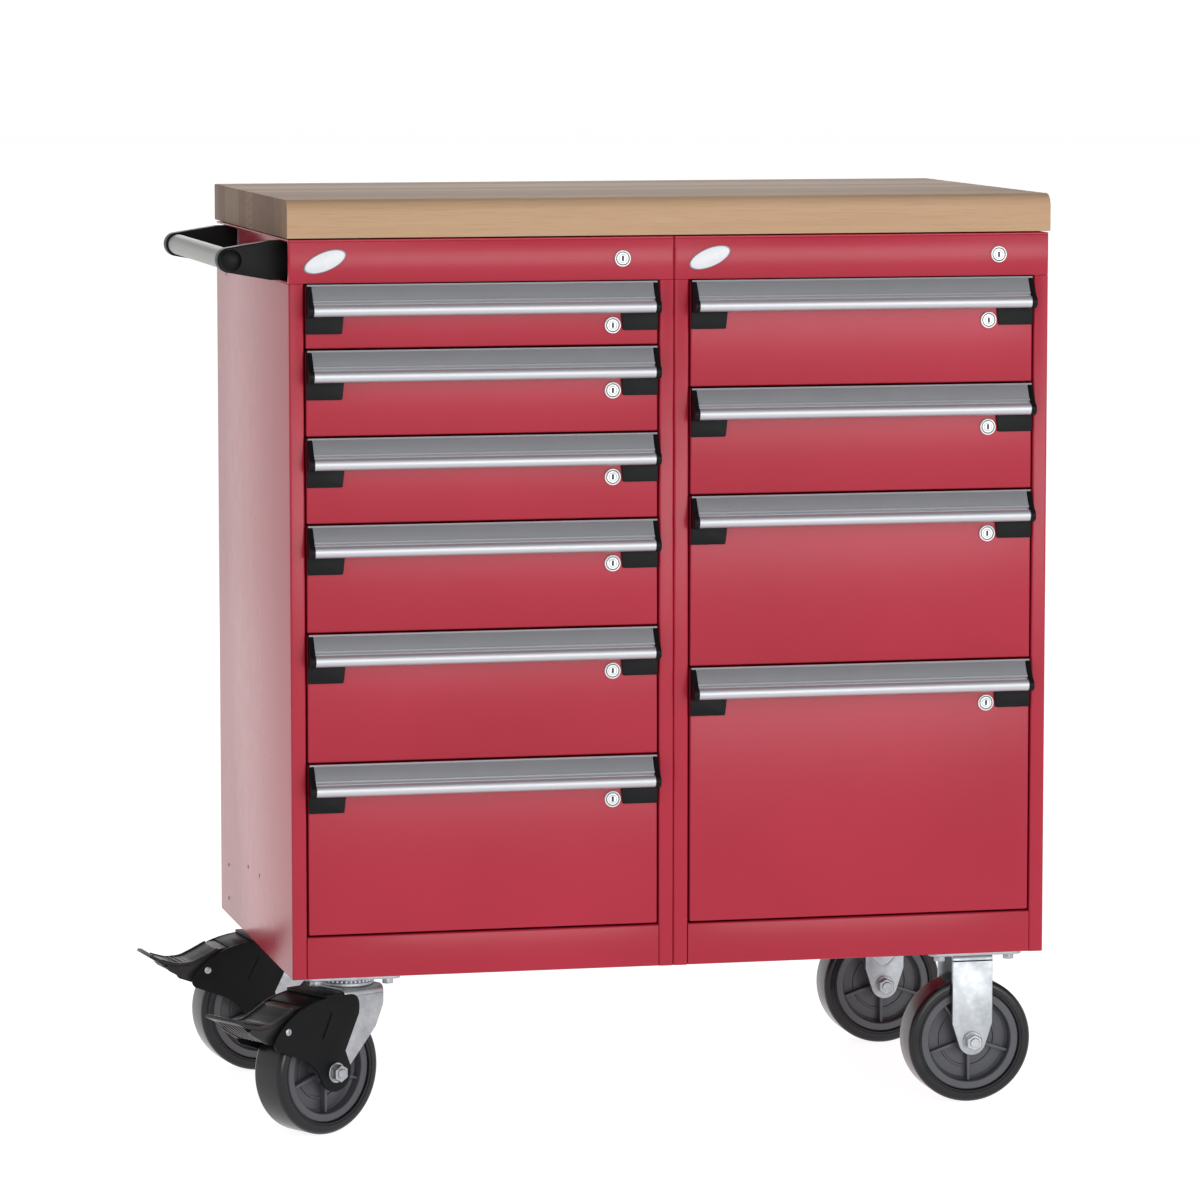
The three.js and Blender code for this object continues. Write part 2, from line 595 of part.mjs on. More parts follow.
// Foot pedal of the brake, from the wheel's centre: a curved tread plate with two side skirts,
// turning on a rivet whose ends show in the cover.
function brakePedal() {
  const half = PEDAL_WIDTH / 2;
  const top = [[-44, 82], [-58, 81], [-74, 73], [-90, 66], [-108, 65], [-125, 70], [-143, 79]];
  const under = top.map(([x, z]) => [x - 1.2, z - PEDAL_WALL]).reverse();
  const plate = outline([...top, ...under]);
  const skirt = outline([
    [-46, 80], [-58, 79], [-74, 71], [-90, 64], [-108, 63], [-122, 67], [-116, 58],
    [-94, 44], [-84, 42], [-64, 52], [-48, 66]]);
  const skirts = [-half, half - PEDAL_WALL].map((y) => prismY(skirt, y, y + PEDAL_WALL));
  const rivet = rodY(RIVET_RADIUS, -COVER_OUTER - 1.5, COVER_OUTER + 1.5, ...RIVET, 12);
  const pedal = join(prismY(plate, -half, half), skirts).scale([CASTER_SCALE, 1, CASTER_SCALE]);
  return join(pedal, rivet);
}

// ---------------------------------------------------------------- assembly
const chest = new THREE.Group();

function addCabinet(name, index, upperDrawers) {
  const x = index * CABINET_WIDTH + SEAM / 2;
  const places = drawerPlaces(upperDrawers);
  chest.add(piece(`${name}_cabinet_shell`, cabinetShell(places), red(), [x, 0, 0]));
  chest.add(piece(`${name}_top_rail`, topRail(), red(), [x, 0, 0]));
  chest.add(piece(`${name}_main_lock_plug`, lockPlug(), steel(),
    [x + SHELL_WIDTH - MAIN_LOCK_FROM_SIDE, 0, RAIL_MIDDLE]));
  const [plateWidth, plateHeight, plateThickness] = PLATE_SIZE;
  chest.add(piece(`${name}_name_plate`,
    block(-plateWidth / 2, plateWidth / 2, -GAP - plateThickness, -GAP, -plateHeight / 2,
      plateHeight / 2), white(), [x + PLATE_FROM_SIDE, 0, RAIL_MIDDLE]));
  places.forEach((place, i) => {
    const label = `${name}_drawer_${i + 1}`;
    const top = place.bottom + place.height - FRONT_GAP / 2;
    chest.add(piece(label, drawer(place.height), red(), [x, 0, place.bottom]));
    chest.add(piece(`${label}_pull`, pull(), aluminium(), [x + FRONT_LEFT, 0, top]));
    chest.add(piece(`${label}_lock_plug`, lockPlug(), steel(),
      [x + SHELL_WIDTH - LOCK_FROM_SIDE, 0, top - LOCK_DROP]));
  });
}

function addPushHandle() {
  const front = [-HANDLE_OUT, HANDLE_INSET, RAIL_MIDDLE];
  chest.add(piece('push_handle_bracket_front', handleBracket(), blackPlastic(), front));
  chest.add(piece('push_handle_bracket_rear', handleBracket().mirror([0, 1, 0]), blackPlastic(),
    [-HANDLE_OUT, HANDLE_INSET + HANDLE_SPAN, RAIL_MIDDLE]));
  chest.add(piece('push_handle_tube', handleTube(), aluminium(), front));
}

const WHEEL_CENTRE = (trail) => [-trail, 0, AXLE_Z];

function addSwivelCaster(name, x, y, degrees) {
  const plate = new THREE.Group();
  plate.position.set(x, y, CASTER_TOP);
  plate.add(piece(`${name}_caster_plate`, topPlate(), zinc()));
  const turning = new THREE.Group();
  turning.rotation.z = THREE.MathUtils.degToRad(degrees);
  const centre = WHEEL_CENTRE(TRAIL);
  turning.add(piece(`${name}_caster_fork`, swivelFork(), zinc()));
  turning.add(piece(`${name}_caster_wheel`, wheel(), tyre(), centre));
  turning.add(piece(`${name}_caster_axle`, axle(COVER_OUTER), zinc(), centre));
  turning.add(piece(`${name}_brake_cover`, brakeCover(), blackPlastic(), centre));
  turning.add(piece(`${name}_brake_pedal`, brakePedal(), blackPlastic(), centre));
  plate.add(turning);
  chest.add(plate);
}

function addRigidCaster(name, x, y) {
  const caster = new THREE.Group();
  caster.position.set(x, y, CASTER_TOP);
  const centre = WHEEL_CENTRE(0);
  caster.add(piece(`${name}_caster_fork`, rigidFork(), zinc()));
  caster.add(piece(`${name}_caster_wheel`, wheel(), tyre(), centre));
  caster.add(piece(`${name}_caster_axle`, axle(LEG_OUTER), zinc(), centre));
  chest.add(caster);
}

const CASTER_X = [
  CASTER_INSET_SIDE + MOUNT_PLATE[0] / 2,
  HOUSING_WIDTH - CASTER_INSET_SIDE - MOUNT_PLATE[0] / 2];
const CASTER_Y = [
  CASTER_INSET_FRONT + MOUNT_PLATE[1] / 2,
  HOUSING_DEPTH - CASTER_INSET_FRONT - MOUNT_PLATE[1] / 2];

addCabinet('left', 0, LEFT_DRAWERS);
addCabinet('right', 1, RIGHT_DRAWERS);
chest.add(piece('work_top', workTop(), wood(), [0, 0, HOUSING_HEIGHT + TOP_SPACER]));
addPushHandle();
addSwivelCaster('front_left', CASTER_X[0], CASTER_Y[0], FRONT_SWIVEL);
addSwivelCaster('rear_left', CASTER_X[0], CASTER_Y[1], REAR_SWIVEL);
addRigidCaster('front_right', CASTER_X[1], CASTER_Y[0]);
addRigidCaster('rear_right', CASTER_X[1], CASTER_Y[1]);

// The origin is the middle of the whole chest's footprint, on the floor.
const bounds = new THREE.Box3().setFromObject(chest, true);
const footprint = bounds.getCenter(new THREE.Vector3());
chest.position.set(-footprint.x, -footprint.y, -bounds.min.z);

export default chest;
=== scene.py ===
# %% [markdown]
# # A rolling tool chest in Blender
# The chest is two steel drawer cabinets bolted side by side, a glued wooden top, a push handle
# and four casters. Its sizes, joints and moving bodies come from a finished mechanical model,
# the frame, and this lesson dresses that frame: every plate, extrusion, lock and wheel is made
# again here with its folds, rounded edges and surface, in the very place where the frame has it.
# Lengths are written in millimetres and multiplied by MM, because Blender works in metres.

import json
import math

import bmesh
import bpy
from mathutils import Matrix, Vector


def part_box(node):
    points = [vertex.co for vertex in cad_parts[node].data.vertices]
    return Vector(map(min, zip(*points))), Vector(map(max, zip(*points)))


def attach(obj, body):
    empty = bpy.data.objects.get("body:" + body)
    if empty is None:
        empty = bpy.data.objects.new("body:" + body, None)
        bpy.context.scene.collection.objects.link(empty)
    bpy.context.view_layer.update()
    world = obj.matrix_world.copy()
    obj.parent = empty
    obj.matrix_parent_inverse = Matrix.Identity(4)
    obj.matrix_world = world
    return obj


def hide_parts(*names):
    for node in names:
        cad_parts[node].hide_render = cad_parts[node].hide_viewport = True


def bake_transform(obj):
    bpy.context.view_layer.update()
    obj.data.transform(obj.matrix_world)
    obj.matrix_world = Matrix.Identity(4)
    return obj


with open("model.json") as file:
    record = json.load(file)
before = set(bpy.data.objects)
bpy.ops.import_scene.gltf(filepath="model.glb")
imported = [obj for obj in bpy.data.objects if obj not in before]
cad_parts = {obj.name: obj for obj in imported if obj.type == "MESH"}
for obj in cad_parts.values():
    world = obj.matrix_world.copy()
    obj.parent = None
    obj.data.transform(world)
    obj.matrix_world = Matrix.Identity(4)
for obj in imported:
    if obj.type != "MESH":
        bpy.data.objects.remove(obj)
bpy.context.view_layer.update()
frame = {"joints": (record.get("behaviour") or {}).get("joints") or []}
MM = 0.001
joints = {joint["name"]: joint for joint in frame["joints"]}

# %% [markdown]
# ## The camera, the floor and the light
# The camera stands a little left of the front and a little above the top, far away with a long
# lens, so the chest keeps its straight sides. It is placed from the housing's own front left
# bottom corner. The floor is a wide pale disc with a faint glow of its own, and the sky is
# brightest near the horizon, so every view has a plain bright ground. Large soft lights keep
# the shadows weak. A wide card of light low in front leaves a soft sheen on the upper drawers.

# %% Camera
corner = Vector(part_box("left_cabinet_shell")[0])
CAMERA_FROM_CORNER = Vector((-1087.0, -6404.0, 1163.0)) * MM
CAMERA_YAW = math.radians(12.8)
CAMERA_PITCH = math.radians(-6.3)
CAMERA_LENS = 168.9
SENSOR_WIDTH = 36
FARTHEST = 100

camera_data = bpy.data.cameras.new("camera")
camera = bpy.data.objects.new("camera", camera_data)
bpy.context.scene.collection.objects.link(camera)
camera_data.sensor_width = SENSOR_WIDTH
camera_data.lens = CAMERA_LENS
camera_data.clip_end = FARTHEST
camera.location = corner + CAMERA_FROM_CORNER
camera.rotation_euler = (math.pi / 2 + CAMERA_PITCH, 0, -CAMERA_YAW)
bpy.context.scene.camera = camera
print("camera at", [round(v, 3) for v in camera.location])

# %% Floor
FLOOR_RADIUS = 40.0
FLOOR_EDGES = 64
FLOOR_GREY = 0.4
FLOOR_ROUGHNESS = 0.8
FLOOR_GLOW = 0.89

floor_mesh = bpy.data.meshes.new("floor")
floor_points = [(FLOOR_RADIUS * math.cos(2 * math.pi * k / FLOOR_EDGES),
                 FLOOR_RADIUS * math.sin(2 * math.pi * k / FLOOR_EDGES), 0)
                for k in range(FLOOR_EDGES)]
floor_mesh.from_pydata(floor_points, [], [tuple(range(FLOOR_EDGES))])
pale = bpy.data.materials.new("pale_floor")
pale.use_nodes = True
surface = pale.node_tree.nodes["Principled BSDF"].inputs
surface["Base Color"].default_value = (FLOOR_GREY, FLOOR_GREY, FLOOR_GREY, 1)
surface["Roughness"].default_value = FLOOR_ROUGHNESS
surface["Emission Color"].default_value = (1, 1, 1, 1)
surface["Emission Strength"].default_value = FLOOR_GLOW
floor_mesh.materials.append(pale)
floor = bpy.data.objects.new("floor", floor_mesh)
bpy.context.scene.collection.objects.link(floor)
print("floor radius:", FLOOR_RADIUS)

# %% Lights and sky
SOFT_LIGHTS = {
    "key": ((-1.0, -4.8, 3.4), 3.2, 56),
    "fill": ((3.4, -3.8, 2.2), 3.0, 34),
    "top": ((0.2, 0.2, 4.0), 3.6, 6),
    "left": ((-4.2, 0.4, 1.9), 2.6, 2),
    "back": ((0.8, 4.8, 3.2), 3.0, 50),
    "card": ((2.5, -10.0, 1.25), (7.0, 2.4), 250),
}
LIGHT_TARGET = (0, 0, 0.6)
SKY_RANGE = (-0.35, 0.45)
SKY_STEPS = ((0.0, 0.16), (0.42, 1.0), (0.72, 0.9), (1.0, 0.22))
SKY_STRENGTH = 1.03


def soft_light(name, place, size, watts):
    data = bpy.data.lights.new(name, "AREA")
    if isinstance(size, tuple):
        data.shape = "RECTANGLE"
        data.size, data.size_y = size
    else:
        data.size = size
    data.energy = watts
    light = bpy.data.objects.new(name, data)
    light.location = place
    aim = Vector(LIGHT_TARGET) - Vector(place)
    light.rotation_euler = aim.to_track_quat("-Z", "Y").to_euler()
    bpy.context.scene.collection.objects.link(light)


for name, (place, size, watts) in SOFT_LIGHTS.items():
    soft_light(name, place, size, watts)

world = bpy.data.worlds.new("studio")
bpy.context.scene.world = world
world.use_nodes = True
sky = world.node_tree
height = sky.nodes.new("ShaderNodeSeparateXYZ")
direction = sky.nodes.new("ShaderNodeTexCoord")
ramp = sky.nodes.new("ShaderNodeValToRGB")
sky.links.new(direction.outputs["Generated"], height.inputs[0])
lift = sky.nodes.new("ShaderNodeMapRange")
lift.inputs["From Min"].default_value = SKY_RANGE[0]
lift.inputs["From Max"].default_value = SKY_RANGE[1]
sky.links.new(height.outputs["Z"], lift.inputs["Value"])
sky.links.new(lift.outputs["Result"], ramp.inputs["Fac"])
for k, (position, brightness) in enumerate(SKY_STEPS):
    elements = ramp.color_ramp.elements
    step = elements[k] if k < 2 else elements.new(position)
    step.position = position
    step.color = (brightness, brightness, brightness, 1)
sky.links.new(ramp.outputs["Color"], sky.nodes["Background"].inputs["Color"])
sky.nodes["Background"].inputs["Strength"].default_value = SKY_STRENGTH
bpy.context.scene.view_settings.view_transform = "Standard"
print("soft lights:", len(SOFT_LIGHTS))

# %% [markdown]
# ## Making meshes
# Sheet steel is one plate folded round its corners, so its natural recipe is a path and a
# thickness: the path is rounded at each corner, offset by the thickness, and swept. Turned
# pieces are a profile spun round an axis. Moulded pieces are an outline given a depth. One small
# function makes each kind, and a Bevel modifier breaks the remaining sharp edges as a real tool
# or mould does.

# %% Paths with rounded corners
def rounded(points, radius, steps=5, closed=False):
    """The path with each inner corner replaced by an arc; radius may be one number or a list."""
    count = len(points)
    radii = [radius] * count if isinstance(radius, (int, float)) else radius
    path = []
    for i, point in enumerate(points):
        here = Vector(point)
        if not closed and i in (0, count - 1) or radii[i] <= 0:
            path.append(tuple(here))
            continue
        before = (Vector(points[i - 1]) - here).normalized()
        after = (Vector(points[(i + 1) % count]) - here).normalized()
        half = before.angle(after) / 2
        reach = radii[i] / math.tan(half)
        centre = here + (before + after).normalized() * radii[i] / math.sin(half)
        start = here + before * reach - centre
        sweep = math.pi - 2 * half
        turn = 1 if start.y * before.x - start.x * before.y > 0 else -1
        for k in range(steps + 1):
            angle = turn * sweep * k / steps
            path.append((
                centre.x + start.x * math.cos(angle) - start.y * math.sin(angle),
                centre.y + start.x * math.sin(angle) + start.y * math.cos(angle),
            ))
    return path


def offset_path(path, distance):
    """The open path moved to its right by distance, with mitred joints."""
    moved = []
    for i, point in enumerate(path):
        directions = []
        if i > 0:
            directions.append((Vector(point) - Vector(path[i - 1])).normalized())
        if i < len(path) - 1:
            directions.append((Vector(path[i + 1]) - Vector(point)).normalized())
        along = sum(directions, Vector((0, 0))).normalized()
        scale = distance / max(0.3, along.dot(directions[0]))
        moved.append((point[0] + along.y * scale, point[1] - along.x * scale))
    return moved


square = [(0, 0), (1, 0), (1, 1), (0, 1)]
print("a rounded square has", len(rounded(square, 0.2, closed=True)), "points")

# %% Sweeps along an axis
AXIS_ORDER = {"X": (2, 0, 1), "Y": (0, 2, 1), "Z": (0, 1, 2)}
BOX_FACES = ((0, 1, 3, 2), (4, 6, 7, 5), (0, 4, 5, 1), (2, 3, 7, 6), (0, 2, 6, 4), (1, 5, 7, 3))


def to_space(u, v, w, axis):
    """A point drawn at u, v and swept to w: Y and Z along X, X and Z along Y, X and Y along Z."""
    values = (u, v, w)
    return tuple(values[k] for k in AXIS_ORDER[axis])


def add_prism(bm, outline, axis, start, end):
    """A closed outline swept from start to end, with both ends capped."""
    first = [bm.verts.new(to_space(u, v, start, axis)) for u, v in outline]
    last = [bm.verts.new(to_space(u, v, end, axis)) for u, v in outline]
    count = len(outline)
    for i in range(count):
        k = (i + 1) % count
        bm.faces.new((first[i], first[k], last[k], last[i]))
    bm.faces.new(first[::-1])
    bm.faces.new(last)


def add_sheet(bm, points, thickness, axis, start, end, radius=2.2, steps=4):
    """Sheet metal folded along a path, with the material on the right of the path."""
    outer = rounded(points, radius, steps)
    inner = offset_path(outer, thickness)
    rows = []
    for w in (start, end):
        rows.append([bm.verts.new(to_space(u, v, w, axis)) for u, v in outer])
        rows.append([bm.verts.new(to_space(u, v, w, axis)) for u, v in inner])
    outer0, inner0, outer1, inner1 = rows
    for i in range(len(outer) - 1):
        k = i + 1
        bm.faces.new((outer0[i], outer0[k], outer1[k], outer1[i]))
        bm.faces.new((inner0[k], inner0[i], inner1[i], inner1[k]))
        bm.faces.new((inner0[i], inner0[k], outer0[k], outer0[i]))
        bm.faces.new((outer1[i], outer1[k], inner1[k], inner1[i]))
    bm.faces.new((outer0[0], outer1[0], inner1[0], inner0[0]))
    bm.faces.new((inner0[-1], inner1[-1], outer1[-1], outer0[-1]))


def add_box(bm, low, high):
    corners = [(x, y, z) for x in (low[0], high[0]) for y in (low[1], high[1])
               for z in (low[2], high[2])]
    verts = [bm.verts.new(corner) for corner in corners]
    for face in BOX_FACES:
        bm.faces.new([verts[i] for i in face])


def add_turned(bm, profile, segments=48, centre=(0, 0, 0)):
    """A profile of (radius, y) spun round the Y axis; points on the axis close it."""
    rings = []
    for radius, y in profile:
        if radius < 1e-7:
            rings.append([bm.verts.new((centre[0], centre[1] + y, centre[2]))])
            continue
        rings.append([
            bm.verts.new((
                centre[0] + radius * math.sin(2 * math.pi * k / segments),
                centre[1] + y,
                centre[2] + radius * math.cos(2 * math.pi * k / segments),
            )) for k in range(segments)])
    closed = len(rings[0]) > 1
    pairs = list(zip(rings, rings[1:])) + ([(rings[-1], rings[0])] if closed else [])
    for a, b in pairs:
        for k in range(segments):
            n = (k + 1) % segments
            ring = [a[k % len(a)], a[n % len(a)], b[n % len(b)], b[k % len(b)]]
            unique = [v for i, v in enumerate(ring) if v not in ring[:i]]
            if len(unique) > 2:
                bm.faces.new(unique)


print("sweep axes:", ", ".join(AXIS_ORDER))

# %% Finishing a piece
made_pieces = []


def piece(name, bm, material, bevel=0.0, segments=2, angle=35, place=None):
    """Makes an object from a bmesh in millimetres: scaled and set down in its place,
    facing out, bevelled and shaded smooth up to the angle."""
    where = Matrix.Translation(HOME) if place is None else place
    bmesh.ops.transform(bm, matrix=where @ Matrix.Diagonal((MM, MM, MM, 1)), verts=bm.verts)
    bmesh.ops.recalc_face_normals(bm, faces=bm.faces)
    mesh = bpy.data.meshes.new(name)
    bm.to_mesh(mesh)
    bm.free()
    made = bpy.data.objects.new(name, mesh)
    bpy.context.scene.collection.objects.link(made)
    mesh.materials.append(material)
    if bevel > 0:
        edge = made.modifiers.new("edge", "BEVEL")
        edge.width = bevel * MM
        edge.segments = segments
        edge.limit_method = "ANGLE"
        edge.angle_limit = math.radians(angle)
        bake(made)
    smooth(made, angle)
    return made


def bake(made):
    """Replaces an object's mesh by the result of its modifiers, which are then removed."""
    graph = bpy.context.evaluated_depsgraph_get()
    graph.update()
    result = bpy.data.meshes.new_from_object(made.evaluated_get(graph), depsgraph=graph)
    result.name = made.name
    made.modifiers.clear()
    made.data = result


def smooth(made, angle=35):
    made.data.shade_smooth()
    made.data.set_sharp_from_angle(angle=math.radians(angle))


def cut(made, cutter):
    """Takes the cutter's shape out of a piece with an exact Boolean, then removes the cutter."""
    hole = made.modifiers.new("hole", "BOOLEAN")
    hole.operation = "DIFFERENCE"
    hole.object = cutter
    hole.solver = "EXACT"
    bake(made)
    bpy.data.objects.remove(cutter)


def fit(made, body, slot, *nodes):
    """Hands a piece to the frame: the body it rides on and what it replaces; slot, its finish, is
    not used.
    """
    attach(made, body)
    if nodes:
        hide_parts(*nodes)
    made_pieces.append(made)
    return made


print("pieces can be made")

# %% [markdown]
# ## Finishes
# Each finish is a small node tree read in Object coordinates, so a pattern has a real size in
# metres and stays put when a drawer opens. Every tree has the same plan: a colour that varies a
# little, a roughness that varies a little, and a bump for the fine surface.

# %% Node helpers
class Finish:
    """A material under construction: its tree, its shader and its coordinates."""

    def __init__(self, name, colour, roughness, metallic=0.0):
        self.material = bpy.data.materials.new(name)
        self.material.use_nodes = True
        self.tree = self.material.node_tree
        self.shader = self.tree.nodes["Principled BSDF"]
        self.shader.inputs["Base Color"].default_value = (*colour, 1)
        self.shader.inputs["Roughness"].default_value = roughness
        self.shader.inputs["Metallic"].default_value = metallic
        self.position = self.tree.nodes.new("ShaderNodeTexCoord").outputs["Object"]

    def feed(self, socket, value):
        """Links a socket to another's output, or sets it to a plain value."""
        if isinstance(value, bpy.types.NodeSocket):
            self.tree.links.new(value, socket)
        else:
            socket.default_value = value

    def node(self, kind, settings=None, **sockets):
        made = self.tree.nodes.new(kind)
        for key, value in (settings or {}).items():
            setattr(made, key, value)
        for key, value in sockets.items():
            self.feed(made.inputs[key.replace("_", " ")], value)
        return made

    def scaled(self, scale, turn=(0, 0, 0)):
        """The coordinates stretched by a scale for each axis."""
        return self.node("ShaderNodeMapping", Vector=self.position, Scale=scale,
                         Rotation=turn).outputs["Vector"]

    def noise(self, scale, detail=2.0, roughness=0.5, vector=None):
        return self.node("ShaderNodeTexNoise", Vector=vector or self.position, Scale=scale,
                         Detail=detail, Roughness=roughness).outputs["Fac"]

    def between(self, value, low, high, start=0.0, end=1.0):
        return self.node("ShaderNodeMapRange", Value=value, From_Min=start, From_Max=end,
                         To_Min=low, To_Max=high).outputs["Result"]

    def mix(self, fac, a, b, blend="MIX"):
        """Mixes two colours; each may be a colour or a socket."""
        mixed = self.tree.nodes.new("ShaderNodeMix")
        mixed.data_type = "RGBA"
        mixed.blend_type = blend
        for value, socket in ((fac, mixed.inputs[0]), (a, mixed.inputs[6]), (b, mixed.inputs[7])):
            plain = isinstance(value, (float, bpy.types.NodeSocket))
            self.feed(socket, value if plain else (*value, 1))
        return mixed.outputs[2]

    def math(self, operation, a, b=0.0):
        made = self.tree.nodes.new("ShaderNodeMath")
        made.operation = operation
        self.feed(made.inputs[0], a)
        self.feed(made.inputs[1], b)
        return made.outputs[0]

    def bump(self, height, strength, distance):
        made = self.node("ShaderNodeBump", Height=height, Strength=strength, Distance=distance)
        self.tree.links.new(made.outputs["Normal"], self.shader.inputs["Normal"])

    def set(self, name, socket):
        self.tree.links.new(socket, self.shader.inputs[name])


print("node helpers ready")

# %% [markdown]
# Powder paint is sprayed on dry and melted in an oven, which leaves a faint orange peel. Two
# noises make it: a coarse one for the slow waves and a fine one for the grain.

# %% Red powder paint
def powder_paint(name, colour, deeper):
    paint = Finish(name, colour, 0.36)
    broad = paint.noise(4.0, 2.0)
    paint.set("Base Color", paint.mix(paint.between(broad, 0.0, 1.0, 0.35, 0.65), colour, deeper))
    paint.set("Roughness", paint.between(paint.noise(38.0, 3.0), 0.225, 0.245, 0.3, 0.7))
    peel = paint.math("ADD", paint.noise(650.0, 2.0), paint.noise(180.0, 1.0))
    paint.bump(peel, 0.035, 0.3 * MM)
    paint.shader.inputs["Specular IOR Level"].default_value = 0.25
    return paint.material


red_paint = powder_paint("red_powder_paint", (0.36, 0.017, 0.038), (0.335, 0.015, 0.033))
print(red_paint.name)

# %% [markdown]
# The wooden top is glued up from long staves. The tone of each stave comes from a white noise
# read with the stave's number, so it changes in steps, while grain and pores are noises drawn
# out along the stave. On the two ends the same staves show their end grain, as growth rings.

# %% Butcher block
STAVE_WIDTH = 52 * MM


def butcher_block():
    wood = Finish("butcher_block", (0.5, 0.34, 0.21), 0.45)
    split = wood.node("ShaderNodeSeparateXYZ", Vector=wood.position)
    across = wood.math("DIVIDE", split.outputs["Y"], STAVE_WIDTH)
    number = wood.math("FLOOR", across)
    tone = wood.node("ShaderNodeTexWhiteNoise", {"noise_dimensions": "1D"}, W=number)
    ramp = wood.node("ShaderNodeValToRGB", Fac=tone.outputs["Value"])
    ramp.color_ramp.elements[0].color = (0.31, 0.187, 0.11, 1)
    ramp.color_ramp.elements[1].color = (0.5, 0.343, 0.215, 1)
    middle = ramp.color_ramp.elements.new(0.5)
    middle.color = (0.43, 0.282, 0.172, 1)
    shifted = wood.node("ShaderNodeCombineXYZ", X=split.outputs["X"],
                        Y=wood.math("ADD", split.outputs["Y"], wood.math("MULTIPLY", number, 3.7)),
                        Z=split.outputs["Z"]).outputs["Vector"]
    long_grain = wood.node("ShaderNodeMapping", Vector=shifted, Scale=(2.2, 70.0, 70.0))
    grain = wood.noise(1.0, 5.0, 0.6, long_grain.outputs["Vector"])
    pores_map = wood.node("ShaderNodeMapping", Vector=shifted, Scale=(24.0, 900.0, 900.0))
    pores = wood.noise(1.0, 2.0, 0.5, pores_map.outputs["Vector"])
    sides = wood.mix(wood.between(grain, 0.0, 0.55, 0.35, 0.75), ramp.outputs["Color"],
                     (0.36, 0.22, 0.13))
    sides = wood.mix(wood.between(pores, 0.0, 0.35, 0.52, 0.72), sides, (0.28, 0.17, 0.1))
    ring_map = wood.node("ShaderNodeMapping", Vector=shifted, Scale=(0.5, 1.0, 0.35))
    rings = wood.node("ShaderNodeTexWave", {"wave_type": "RINGS"},
                      Vector=ring_map.outputs["Vector"], Scale=95.0, Distortion=5.0,
                      Detail=3.0)
    ends = wood.mix(wood.between(rings.outputs["Fac"], 0.0, 0.45), ramp.outputs["Color"],
                    (0.25, 0.15, 0.1))
    facing = wood.node("ShaderNodeSeparateXYZ",
                       Vector=wood.node("ShaderNodeNewGeometry").outputs["Normal"])
    is_end = wood.between(wood.math("ABSOLUTE", facing.outputs["X"]), 0.0, 1.0, 0.7, 0.9)
    stained = wood.mix(1.0, ends, (0.5, 0.46, 0.46), "MULTIPLY")
    wood.set("Base Color", wood.mix(is_end, sides, stained))
    glue = wood.math("ABSOLUTE", wood.math("SUBTRACT", wood.math("FRACT", across), 0.5))
    joint = wood.between(glue, 1.0, 0.0, 0.485, 0.5)
    wood.set("Roughness", wood.between(grain, 0.5, 0.62))
    surface = wood.math("ADD", wood.math("MULTIPLY", pores, -0.5),
                        wood.math("MULTIPLY", joint, 0.6))
    wood.bump(surface, 0.25, 0.2 * MM)
    wood.shader.inputs["Specular IOR Level"].default_value = 0.15
    return wood.material


block_wood = butcher_block()
print(block_wood.name)

# %% [markdown]
# Metals differ by what was done to them. Extruded aluminium has die lines along its length
# under a satin anodised skin. Zinc plate is a little cloudy. The locks are polished and plated.

# %% Metals
def anodised(name, colour, stretch, roughness=(0.34, 0.42)):
    metal = Finish(name, colour, 0.38, 0.9)
    lines = metal.noise(1.0, 3.0, 0.6, metal.scaled(stretch))
    metal.set("Roughness", metal.between(lines, *roughness, 0.3, 0.7))
    metal.set("Base Color", metal.mix(metal.between(lines, 0.0, 0.25, 0.3, 0.7), colour,
                                      tuple(0.9 * c for c in colour)))
    metal.bump(lines, 0.05, 0.05 * MM)
    return metal.material


def zinc_plate(name):
    metal = Finish(name, (0.66, 0.68, 0.7), 0.34, 0.92)
    clouds = metal.noise(28.0, 4.0, 0.65)
    grains = metal.node("ShaderNodeTexVoronoi", Vector=metal.position, Scale=160.0)
    mottle = metal.math("ADD", clouds, metal.math("MULTIPLY", grains.outputs["Distance"], 0.25))
    metal.set("Base Color", metal.mix(metal.between(mottle, 0.0, 1.0, 0.4, 0.9),
                                      (0.44, 0.46, 0.48), (0.3, 0.32, 0.345)))
    metal.set("Roughness", metal.between(clouds, 0.26, 0.46, 0.3, 0.7))
    metal.bump(metal.noise(420.0, 2.0), 0.1, 0.15 * MM)
    return metal.material


def plated(name, colour, roughness, metallic):
    metal = Finish(name, colour, roughness, metallic)
    smear = metal.noise(260.0, 3.0)
    metal.set("Roughness", metal.between(smear, roughness * 0.7, roughness * 1.5, 0.3, 0.7))
    metal.bump(smear, 0.04, 0.1 * MM)
    return metal.material


pull_metal = anodised("anodised_extrusion", (0.52, 0.53, 0.56), (1.5, 900.0, 900.0), (0.46, 0.54))
handle_metal = anodised("anodised_tube", (0.33, 0.33, 0.315), (900.0, 1.5, 900.0), (0.4, 0.5))
zinc = zinc_plate("zinc_plate")
lock_metal = plated("polished_lock_face", (0.68, 0.69, 0.7), 0.36, 0.5)
print("metals:", pull_metal.name, handle_metal.name, zinc.name, lock_metal.name)

# %% [markdown]
# Moulded plastic carries the fine spark texture of its mould; the brake pedals are paler and
# glossier than their covers. The tread is a slightly shiny dark polyurethane, cast round a
# grey core. The label strip is a smooth grey strip, and the badge is a blank white plate.

